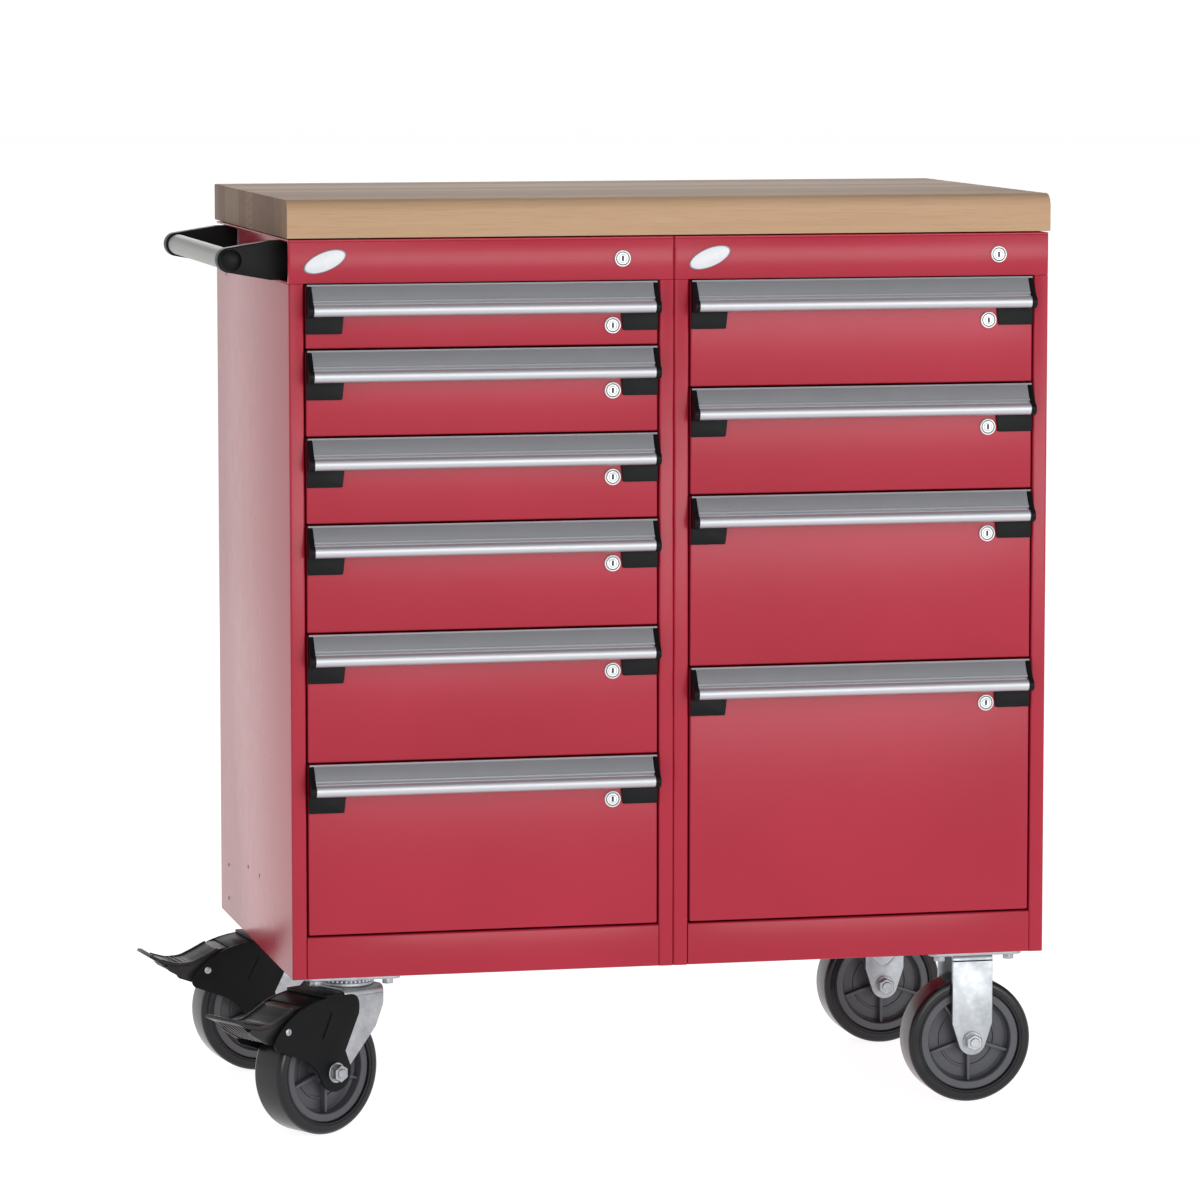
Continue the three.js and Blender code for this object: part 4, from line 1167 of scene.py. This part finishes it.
def lock(name, ring_body, x, z):
    """Ring and turning plug of one lock, with its axis at x, z in the front's plane."""
    bm = bmesh.new()
    add_turned(bm, ring_profile, 56, (x, 0, z))
    fit(piece(f"{name}_ring", bm, lock_metal, angle=30), ring_body, "lock_chrome")
    # Painted shade: a dark ring in the groove and a dark box in the key slot.
    fit(groove_shade_ring(name, x, z), ring_body, "lock_chrome")
    fit(keyway_shade(name, x, z), name, "black_plastic")
    bm = bmesh.new()
    bm.from_mesh(plug_mesh)
    bmesh.ops.transform(bm, matrix=Matrix.Diagonal((1 / MM, 1 / MM, 1 / MM, 1)), verts=bm.verts)
    add_prism(bm, cam_outline, "Y", 10.3, 12.3)
    bmesh.ops.transform(bm, matrix=Matrix.Translation((x, 0, z)), verts=bm.verts)
    fit(piece(f"{name}_plug", bm, lock_metal, angle=30), name, "lock_chrome", f"{name}_plug")


for side, count in SIDES.items():
    right_edge = side_origin[side] + SHELL_WIDTH
    lock(f"{side}_main_lock", "root", right_edge - MAIN_LOCK_FROM_SIDE, RAIL_MIDDLE)
    for number in range(1, count + 1):
        top = drawer_place(side, number)[1]
        lock(f"{side}_drawer_{number}_lock", f"{side}_drawer_{number}",
             right_edge - LOCK_FROM_SIDE, top - LOCK_DROP)
print("plug has", len(plug_mesh.polygons), "faces")

# %% [markdown]
# A small blank badge sits at the left of each top rail: a slanted white oval in a thin grey rim.

# %% Badges
BADGE_STEPS = 56


def slanted_oval(centre_x, half_width, slant, half_height):
    """An oval leaning to the right, as points in X and Z."""
    points = []
    for k in range(BADGE_STEPS):
        turn = 2 * math.pi * k / BADGE_STEPS
        points.append((centre_x + half_width * math.cos(turn) + slant * math.sin(turn),
                       RAIL_MIDDLE + half_height * math.sin(turn)))
    return points


for side in SIDES:
    low, high = box_mm(f"{side}_name_plate")
    middle = (low.x + high.x) / 2
    for part, size, start, end, finish in (
            ("rim", (20.5, 14, 14.3), low.y + 0.4, high.y, badge_edge),
            ("face", (19.3, 13.2, 13.1), low.y, low.y + 0.4, badge_plastic)):
        bm = bmesh.new()
        add_prism(bm, slanted_oval(middle, *size), "Y", start, end)
        fit(piece(f"{side}_badge_{part}", bm, finish, bevel=0.25, segments=3), "root", "badge",
            f"{side}_name_plate")
print("badges at z", round(RAIL_MIDDLE, 1))

# %% [markdown]
# ## The push handle
# Two moulded arms reach out of the rail's channel and hold a plain tube. An arm tapers towards
# the tube and ends in a domed cap. The socket for the tube is cut with a Boolean after the
# edges are rounded, so the tube really enters the arm.

# %% Push handle
tube_low, tube_high = box_mm("push_handle_tube")
TUBE_RADIUS = (tube_high.z - tube_low.z) / 2
TUBE_WALL = 2
TUBE_X = (tube_low.x + tube_high.x) / 2
ARM = 22
END_RADIUS = 15
ARM_ROOT = 14.7


def handle_arm(name, y_outer, sign):
    """One arm; y_outer is its outer face and sign points from there towards the tube."""
    up = RAIL_HIGH - 2.8 - RAIL_MIDDLE
    down = RAIL_LOW + 1.8 - RAIL_MIDDLE
    reach = ARM_ROOT - TUBE_X
    outline = [(reach, down), (reach, up), (reach - 26, up)]
    outline += arc((0, 0), END_RADIUS, 0.62, 1.38, 16)
    outline += [(reach - 26, down)]
    outline = [(x + TUBE_X, z + RAIL_MIDDLE) for x, z in outline]
    bm = bmesh.new()
    add_prism(bm, outline, "Y", y_outer, y_outer + sign * ARM)
    arm = piece(name, bm, black_plastic, bevel=1.6, segments=4)
    bm = bmesh.new()
    add_turned(bm, [(0, sign * (ARM - 12)), (TUBE_RADIUS + 0.3, sign * (ARM - 12)),
                    (TUBE_RADIUS + 0.3, sign * (ARM + 2)), (0, sign * (ARM + 2))], 48,
               (TUBE_X, y_outer, RAIL_MIDDLE))
    socket = piece("socket_cutter", bm, black_plastic)
    cut(arm, socket)
    smooth(arm)
    return arm


def arm_dome(name, y_outer, sign):
    """The domed cap on an arm's outer face, with a fine step round it."""
    radius = END_RADIUS - 1.9
    dome = [(radius * math.sin(k * math.pi / 24), -sign * (1.2 + 5.6 * math.cos(k * math.pi / 24)))
            for k in range(13)]
    profile = dome + [(radius, -sign * 0.6), (radius + 0.5, -sign * 0.6),
                      (radius + 0.5, sign * 0.4), (0, sign * 0.4)]
    bm = bmesh.new()
    add_turned(bm, profile, 48, (TUBE_X, y_outer, RAIL_MIDDLE))
    return piece(name, bm, black_plastic, angle=40)


y_first = tube_low.y - 10.3
y_last = tube_high.y + 10.3
for end, y_outer, sign in (("front", y_first, 1), ("rear", y_last, -1)):
    node = f"push_handle_bracket_{end}"
    fit(handle_arm(f"handle_arm_{end}", y_outer, sign), "root", "black_plastic", node)
    fit(arm_dome(f"handle_dome_{end}", y_outer, sign), "root", "black_plastic", node)
bm = bmesh.new()
add_turned(bm, [(TUBE_RADIUS - TUBE_WALL, tube_low.y), (TUBE_RADIUS - 0.4, tube_low.y),
                (TUBE_RADIUS, tube_low.y + 0.4), (TUBE_RADIUS, tube_high.y - 0.4),
                (TUBE_RADIUS - 0.4, tube_high.y), (TUBE_RADIUS - TUBE_WALL, tube_high.y)], 64,
           (TUBE_X, 0, RAIL_MIDDLE))
fit(piece("handle_tube", bm, handle_metal, angle=30), "root", "aluminium", "push_handle_tube")
print("tube", round(tube_high.y - tube_low.y, 1), "long, radius", round(TUBE_RADIUS, 1))

# %% [markdown]
# ## The casters
# The left casters swivel and have a foot brake; the right ones are rigid. Each is drawn about its
# swivel axis with the top of the mounting plate at zero, the axle along Y and the trail towards
# -X. The place and turn of every caster are read from its wheel's joint, so a caster that stands
# turned in the frame stands turned here too.

# %% Caster frames
TRAIL = 47
AXLE_HEIGHT = -114.0
CASTERS = {"front_left": TRAIL, "rear_left": TRAIL, "front_right": 0, "rear_right": 0}
BRAKED = [caster for caster, trail in CASTERS.items() if trail]


def wheel_frame(caster):
    """Wheel centre as origin, axle along Y, Z up."""
    joint = joints[f"wheel_{caster}"]
    along = Vector(joint["axis"]).normalized()
    if along.y < 0:
        along = -along
    ahead = along.cross(Vector((0, 0, 1)))
    turn = Matrix((ahead, along, Vector((0, 0, 1)))).transposed().to_4x4()
    return Matrix.Translation(Vector(joint["pos_m"])) @ turn


def swivel_frame(caster):
    """Swivel axis and top of the plate as origin, turned with the wheel."""
    to_axis = Matrix.Translation(Vector((CASTERS[caster], 0, -AXLE_HEIGHT)) * MM)
    return wheel_frame(caster) @ to_axis


def plate_frame(caster):
    return Matrix.Translation(swivel_frame(caster).translation)


UPRIGHT = Matrix.Rotation(math.pi / 2, 4, "X")
for caster in CASTERS:
    where = plate_frame(caster).translation
    print(caster, [round(v, 4) for v in where])

# %% [markdown]
# Mounting plates are stamped from thick zinc-plated steel and held by four hexagon bolts. Under
# a swivel plate sit two pressed rings with a row of balls between them.

# %% Plates, bolts and races
PLATE = (114.3, 101.6, 6)
BOLT_X = PLATE[0] / 2 - 14
BOLT_Y = PLATE[1] / 2 - 14
BALLS = 36


def mounting_plate(bm):
    half_x, half_y = PLATE[0] / 2, PLATE[1] / 2
    outline = rounded([(-half_x, -half_y), (half_x, -half_y), (half_x, half_y),
                       (-half_x, half_y)], 9, 6, True)
    add_prism(bm, outline, "Z", -PLATE[2], 0)


def hexagon(centre, radius, turn=0.0):
    return [(centre[0] + radius * math.cos(turn + k * math.pi / 3),
             centre[1] + radius * math.sin(turn + k * math.pi / 3)) for k in range(6)]


def bolt_unit():
    """Washer and head of the two bolts at one end of a plate."""
    bm = bmesh.new()
    for y in (-BOLT_Y, BOLT_Y):
        washer = rounded([(-BOLT_X - 9, y - 9), (-BOLT_X + 9, y - 9), (-BOLT_X + 9, y + 9),
                          (-BOLT_X - 9, y + 9)], 8.99, 8, True)
        add_prism(bm, washer, "Z", -PLATE[2] - 1.4, -PLATE[2] - 0.05)
        add_prism(bm, hexagon((-BOLT_X, y), 7.2, 0.3), "Z", -PLATE[2] - 7, -PLATE[2] - 1.4)
    return bm


upper_race = [(7.5, -6.05), (32, -6.05), (33, -7), (33, -9.4), (31.2, -11.3), (7.5, -11.3)]
lower_race = [(7.5, -12.0), (31.2, -12.0), (33, -13.9), (33, -16.4), (32, -17.3), (7.5, -17.3)]

for caster, trail in CASTERS.items():
    place = plate_frame(caster)
    node = f"{caster}_caster_plate" if trail else f"{caster}_caster_fork"
    bm = bmesh.new()
    mounting_plate(bm)
    fit(piece(f"{caster}_mounting_plate", bm, zinc, bevel=0.7, segments=3, place=place), "root",
        "zinc", node)
    fit(repeated(f"{caster}_plate_bolts", bolt_unit(), zinc, 2, (2 * BOLT_X, 0, 0), bevel=0.5,
                 place=place), "root", "zinc")
    if not trail:
        continue
    for ring_name, profile, body in (("upper", upper_race, "root"),
                                     ("lower", lower_race, f"{caster}_swivel")):
        bm = bmesh.new()
        add_turned(bm, profile, 72)
        fit(piece(f"{caster}_{ring_name}_race", bm, zinc, angle=30, place=place @ UPRIGHT), body,
            "zinc")
    ball = bmesh.new()
    bmesh.ops.create_uvsphere(ball, u_segments=12, v_segments=8, radius=1.7,
                              matrix=Matrix.Translation((31.2, 0, -11.65)))
    fit(repeated(f"{caster}_race_balls", ball, lock_metal, BALLS,
                 turn=(0, 0, 2 * math.pi / BALLS), place=place), f"{caster}_swivel",
        "lock_chrome")
print("plates made")

# %% [markdown]
# A fork is one pressed plate bent into a U: two legs with a rounded lobe round the axle and a
# web with rounded shoulders. The legs are outlines swept along Y; the shoulders are the same
# sheet sweep that made the cabinets. The rear rigid fork's legs carry a pressed V that stiffens
# them.

# %% Forks
FORK_WALL = 5
LEG_INNER = 28.3
LEG_OUTER = LEG_INNER + FORK_WALL
LOBE = 17
SWIVEL_HALF = 30
RIGID_HALF = 25
CROWN = -17.3


def add_legs(bm, outline):
    for y in (-LEG_OUTER, LEG_INNER):
        add_prism(bm, outline, "Y", y, y + FORK_WALL)


def add_shoulders(bm, half, top, low):
    add_sheet(bm, [(-LEG_OUTER, low), (-LEG_OUTER, top), (LEG_OUTER, top), (LEG_OUTER, low)],
              FORK_WALL, "X", -half, half, radius=8, steps=6)


def swivel_fork(caster):
    back = arc((-TRAIL, AXLE_HEIGHT), LOBE, 0.92, 1.93, 20)
    legs = [(-SWIVEL_HALF, CROWN - 9)] + back
    legs += rounded([back[-1], (18, CROWN - 50), (SWIVEL_HALF, CROWN - 24),
                     (SWIVEL_HALF, CROWN - 9)], 14, 6)[1:]
    bm = bmesh.new()
    add_legs(bm, legs)
    add_shoulders(bm, SWIVEL_HALF, CROWN, CROWN - 12)
    return piece(f"{caster}_fork", bm, zinc, bevel=0.9, segments=3, place=swivel_frame(caster))


def rigid_fork(caster):
    top = -PLATE[2] - 0.05
    legs = [(-RIGID_HALF, top - 8), (-RIGID_HALF, AXLE_HEIGHT + 22)]
    legs += arc((0, AXLE_HEIGHT), LOBE, 1.08, 1.92, 20)
    legs += [(RIGID_HALF, AXLE_HEIGHT + 22), (RIGID_HALF, top - 8)]
    bm = bmesh.new()
    add_legs(bm, legs)
    add_shoulders(bm, RIGID_HALF, top, top - 11)
    if caster == "rear_right":
        low, high = AXLE_HEIGHT + 20.5, AXLE_HEIGHT + 43
        crease = rounded([(-24.8, high), (0, low), (24.8, high), (24.8, high + 4), (0, low + 3.5),
                          (-24.8, high + 4)], [0, 8, 0, 0, 6, 0], 5, True)
        for y, sign in ((-LEG_OUTER, -1), (LEG_OUTER, 1)):
            add_prism(bm, crease, "Y", y - sign * 0.3, y + sign * 0.9)
    return piece(f"{caster}_fork", bm, zinc, bevel=0.7, segments=3, place=swivel_frame(caster))


for caster, trail in CASTERS.items():
    node = f"{caster}_caster_fork"
    if trail:
        fit(swivel_fork(caster), f"{caster}_swivel", "zinc", node)
    else:
        fit(rigid_fork(caster), "root", "zinc", node)
print("forks made")

# %% [markdown]
# A wheel is a moulded core with a tread cast round it. Both are turned profiles: the tread has
# rounded shoulders and a fine groove round each sidewall, the core a flat rim ring, a dished web
# with a ridge, and a hub. Five spokes stiffen each side; the repeating tree turns one into five.

# %% Wheels
WHEEL_RADIUS = 76.2
HALF_TREAD = 25
SHOULDER = 7
SPOKES = 5
SPOKE_TURN = math.radians(18)


def mirrored(profile):
    """A wheel's half profile and its mirror image, as one closed loop."""
    return profile + [(r, -y) for r, y in reversed(profile)]


shoulder = [(WHEEL_RADIUS - SHOULDER * (1 - math.sin(k * math.pi / 16)),
             -HALF_TREAD + SHOULDER * (1 - math.cos(k * math.pi / 16))) for k in range(9)]
tread_profile = mirrored([
    (61.1, -21.2), (61.5, -23.8), (62.4, -24.8), (63.6, -24.8), (64.0, -24.2), (64.8, -24.2),
    (65.2, -25.0)] + shoulder)
core_profile = mirrored([
    (6.3, -27.5), (13.4, -27.5), (14.8, -26.5), (15.3, -11), (17.5, -8), (32.5, -8),
    (33.3, -9.6), (35.2, -9.6), (36, -8), (47.5, -8), (50.4, -10.5), (51.4, -21.2),
    (52.2, -22), (60.0, -22), (61.0, -21.2)])

for caster in CASTERS:
    place = wheel_frame(caster)
    body = f"{caster}_wheel"
    node = f"{caster}_caster_wheel"
    bm = bmesh.new()
    add_turned(bm, tread_profile, 128)
    fit(piece(f"{caster}_tread", bm, tread_rubber, angle=35, place=place), body, "tyre", node)
    bm = bmesh.new()
    add_turned(bm, core_profile, 96)
    fit(piece(f"{caster}_core", bm, core_plastic, angle=35, place=place), body, "wheel_core",
        node)
    spoke = bmesh.new()
    add_prism(spoke, [(14.5, -2.2), (50.6, -1.6), (50.6, 1.6), (14.5, 2.2)], "Y", -18, 18)
    bmesh.ops.transform(spoke, matrix=Matrix.Rotation(SPOKE_TURN, 4, "Y"), verts=spoke.verts)
    fit(repeated(f"{caster}_spokes", spoke, core_plastic, SPOKES,
                 turn=(0, 2 * math.pi / SPOKES, 0), bevel=0.5, place=place), body, "wheel_core")
print("wheels made with", SPOKES, "spokes each")

# %% [markdown]
# The axle is a bolt with a washer and a chamfered hexagon nut at each end. A chamfered hexagon
# is a profile turned in only six steps.

# %% Axles
COVER_INNER = LEG_OUTER + 0.3
COVER_WALL = 3
COVER_OUTER = COVER_INNER + COVER_WALL
AXLE_RADIUS = 6
WASHER = 2
NUT = 9


def axle(caster):
    reach = (COVER_OUTER if CASTERS[caster] else LEG_OUTER) + 0.3
    bm = bmesh.new()
    end = reach + WASHER + NUT + 2
    add_turned(bm, [(0, -end), (5.2, -end), (AXLE_RADIUS, -end + 0.8), (AXLE_RADIUS, end - 0.8),
                    (5.2, end), (0, end)], 32)
    for sign in (-1, 1):
        add_turned(bm, [(6.1, sign * reach), (11.6, sign * reach), (12, sign * (reach + 0.4)),
                        (12, sign * (reach + 1.6)), (11.6, sign * (reach + 2)),
                        (6.1, sign * (reach + 2))], 48)
        start = reach + 2.05
        add_turned(bm, [(6.1, sign * start), (9.7, sign * start), (10.4, sign * (start + 0.9)),
                        (10.4, sign * (start + 7.9)), (9.4, sign * (start + 8.9)),
                        (6.1, sign * (start + 8.9))], 6)
    return piece(f"{caster}_axle", bm, zinc, angle=30, place=wheel_frame(caster))


for caster, trail in CASTERS.items():
    fit(axle(caster), f"{caster}_swivel" if trail else "root", "zinc", f"{caster}_caster_axle")
print("axles made")

# %% [markdown]
# The brake is a black cover over the fork and a foot pedal that turns on a rivet. The cover's two
# walls share one outline with a long curved back; a shallow panel is cut into each outer face.
# A roof and a saddle join the walls above the wheel.

# %% Brake covers
def curve(start, control, end, steps=8):
    """A quadratic curve, without its first point."""
    path = []
    for k in range(1, steps + 1):
        t = k / steps
        path.append(tuple((1 - t) ** 2 * a + 2 * t * (1 - t) * b + t * t * c
                          for a, b, c in zip(start, control, end)))
    return path


cover_outline = [(15, 24), (36, 66)]
cover_outline += curve((36, 66), (40, 90), (24, 90)) + [(-14, 90)]
cover_outline += curve((-14, 90), (-62, 84), (-86, 56)) + curve((-86, 56), (-97, 44), (-88, 36))
cover_outline += [(-50, 22)] + curve((-50, 22), (-28, 10), (-23, -6))
cover_outline += arc((0, 0), 23, 1.08, 2.1, 24)
panel_outline = rounded([(-20, 40), (-4, 73), (-43, 72)], [2, 3, 3], 4, True)


def cut_panels(cover, place):
    """Cuts the shallow panel into the outer face of both walls."""
    bm = bmesh.new()
    for y in (-COVER_OUTER - 2, COVER_OUTER - 1.2):
        add_prism(bm, panel_outline, "Y", y, y + 3.2)
    cutter = piece("panel_cutter", bm, black_plastic, place=place)
    cut(cover, cutter)
    smooth(cover)


for caster in BRAKED:
    place = wheel_frame(caster)
    bm = bmesh.new()
    for y in (-COVER_OUTER, COVER_INNER):
        add_prism(bm, cover_outline, "Y", y, y + COVER_WALL)
    cover = piece(f"{caster}_cover_walls", bm, black_plastic, bevel=0.8, segments=3, place=place)
    cut_panels(cover, place)
    fit(cover, f"{caster}_swivel", "black_plastic", f"{caster}_brake_cover")
    bm = bmesh.new()
    roof = [(15, 86.5), (15, 89.9), (-14, 89.9), (-30, 86.9), (-42.3, 83.4), (-42.3, 80.6),
            (-30, 84), (-14, 86.5)]
    add_prism(bm, roof, "Y", -COVER_INNER - 0.5, COVER_INNER + 0.5)
    add_box(bm, (-14, -COVER_OUTER, 88.6), (12, COVER_OUTER, 93.5))
    fit(piece(f"{caster}_cover_saddle", bm, black_plastic, bevel=0.8, segments=3, place=place),
        f"{caster}_swivel", "black_plastic", f"{caster}_brake_cover")
print("cover outline points:", len(cover_outline))

# %% [markdown]
# The pedal is a curved plate between two skirts, with a low rim along each edge and a rounded
# bead at its tip. Thin fins stiffen it from beneath and low grips cross its tread; the repeating
# tree makes both rows. A small dimpled rivet passes through the cover's walls.

# %% Brake pedals
PEDAL_HALF = 28
PEDAL_WALL = 3.5
RIVET = (-72, 57)
GRIPS = 6
FINS = 7
FIN_PITCH = 6.9
GRIP_STEP = (-6.2, 0, 0.3)

pedal_top = [(-44, 82), (-58, 81), (-74, 73), (-90, 66), (-108, 65), (-125, 70), (-143, 79)]
pedal_under = [(x - 1.2, z - PEDAL_WALL) for x, z in pedal_top]
skirt_outline = [(-46, 80), (-58, 79), (-74, 71), (-90, 64), (-108, 63), (-124, 67.5),
                 (-138, 74.5), (-118, 56.5), (-96, 44), (-84, 42), (-64, 52), (-48, 66)]
TIP_BEAD = (-140.2, 76.0)
TIP_RADIUS = 2.6
RIM_HEIGHT = 1.4
RIM_WIDTH = 3

for caster in BRAKED:
    place = wheel_frame(caster)
    body = f"{caster}_pedal"
    node = f"{caster}_brake_pedal"
    top = rounded(pedal_top, [0, 8, 30, 30, 30, 30, 0], 5)
    under = rounded(pedal_under, [0, 8, 30, 30, 30, 30, 0], 5)
    bm = bmesh.new()
    add_prism(bm, top + under[::-1], "Y", -PEDAL_HALF, PEDAL_HALF)
    for y in (-PEDAL_HALF, PEDAL_HALF - PEDAL_WALL):
        add_prism(bm, rounded(skirt_outline, 3, 3, True), "Y", y, y + PEDAL_WALL)
    for y in (-PEDAL_HALF, PEDAL_HALF - RIM_WIDTH):
        raised = [(x, z + RIM_HEIGHT) for x, z in top[1:-1]]
        add_prism(bm, raised + under[1:-1][::-1], "Y", y + 0.1, y + RIM_WIDTH - 0.1)
    add_prism(bm, arc(TIP_BEAD, TIP_RADIUS, 0, 1.875, 15), "Y", 2 - PEDAL_HALF, PEDAL_HALF - 2)
    fit(piece(f"{caster}_pedal_plate", bm, pedal_plastic, bevel=0.9, segments=3, place=place),
        body, "black_plastic", node)
    fin = bmesh.new()
    fin_outline = [(-94, 61.5), (-108, 60.5), (-124, 65.5), (-136, 72), (-117.5, 57.2), (-96, 45)]
    add_prism(fin, fin_outline, "Y", -PEDAL_HALF + 5.2, -PEDAL_HALF + 8.6)
    fit(repeated(f"{caster}_pedal_fins", fin, pedal_plastic, FINS, (0, FIN_PITCH, 0), bevel=0.3,
                 place=place), body, "black_plastic")
    grip = bmesh.new()
    ridge = [(-94.4, 65.0), (-92, 65.0), (-92.6, 66.4), (-93.8, 66.4)]
    add_prism(grip, ridge, "Y", -PEDAL_HALF + 6, PEDAL_HALF - 6)
    fit(repeated(f"{caster}_pedal_grips", grip, pedal_plastic, GRIPS, GRIP_STEP, bevel=0.4,
                 place=place), body, "black_plastic")
    bm = bmesh.new()
    face = COVER_OUTER + 0.05
    head = COVER_OUTER + 1.5
    add_turned(bm, [(0, 0.8 - head), (1.3, 0.8 - head), (1.7, -head), (2.6, -head),
                    (4.2, 0.9 - head), (4.2, -face), (3.4, -face), (3.4, face), (4.2, face),
                    (4.2, head - 0.9), (2.6, head), (1.7, head), (1.3, head - 0.8),
                    (0, head - 0.8)], 32, (RIVET[0], 0, RIVET[1]))
    fit(piece(f"{caster}_pedal_rivet", bm, zinc, angle=30, place=place), body, "zinc", node)
print("pedals made with", GRIPS, "grips each")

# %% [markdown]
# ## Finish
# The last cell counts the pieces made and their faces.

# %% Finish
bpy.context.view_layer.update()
faces = sum(len(made.data.polygons) for made in made_pieces)
print("pieces", len(made_pieces), "faces", faces)
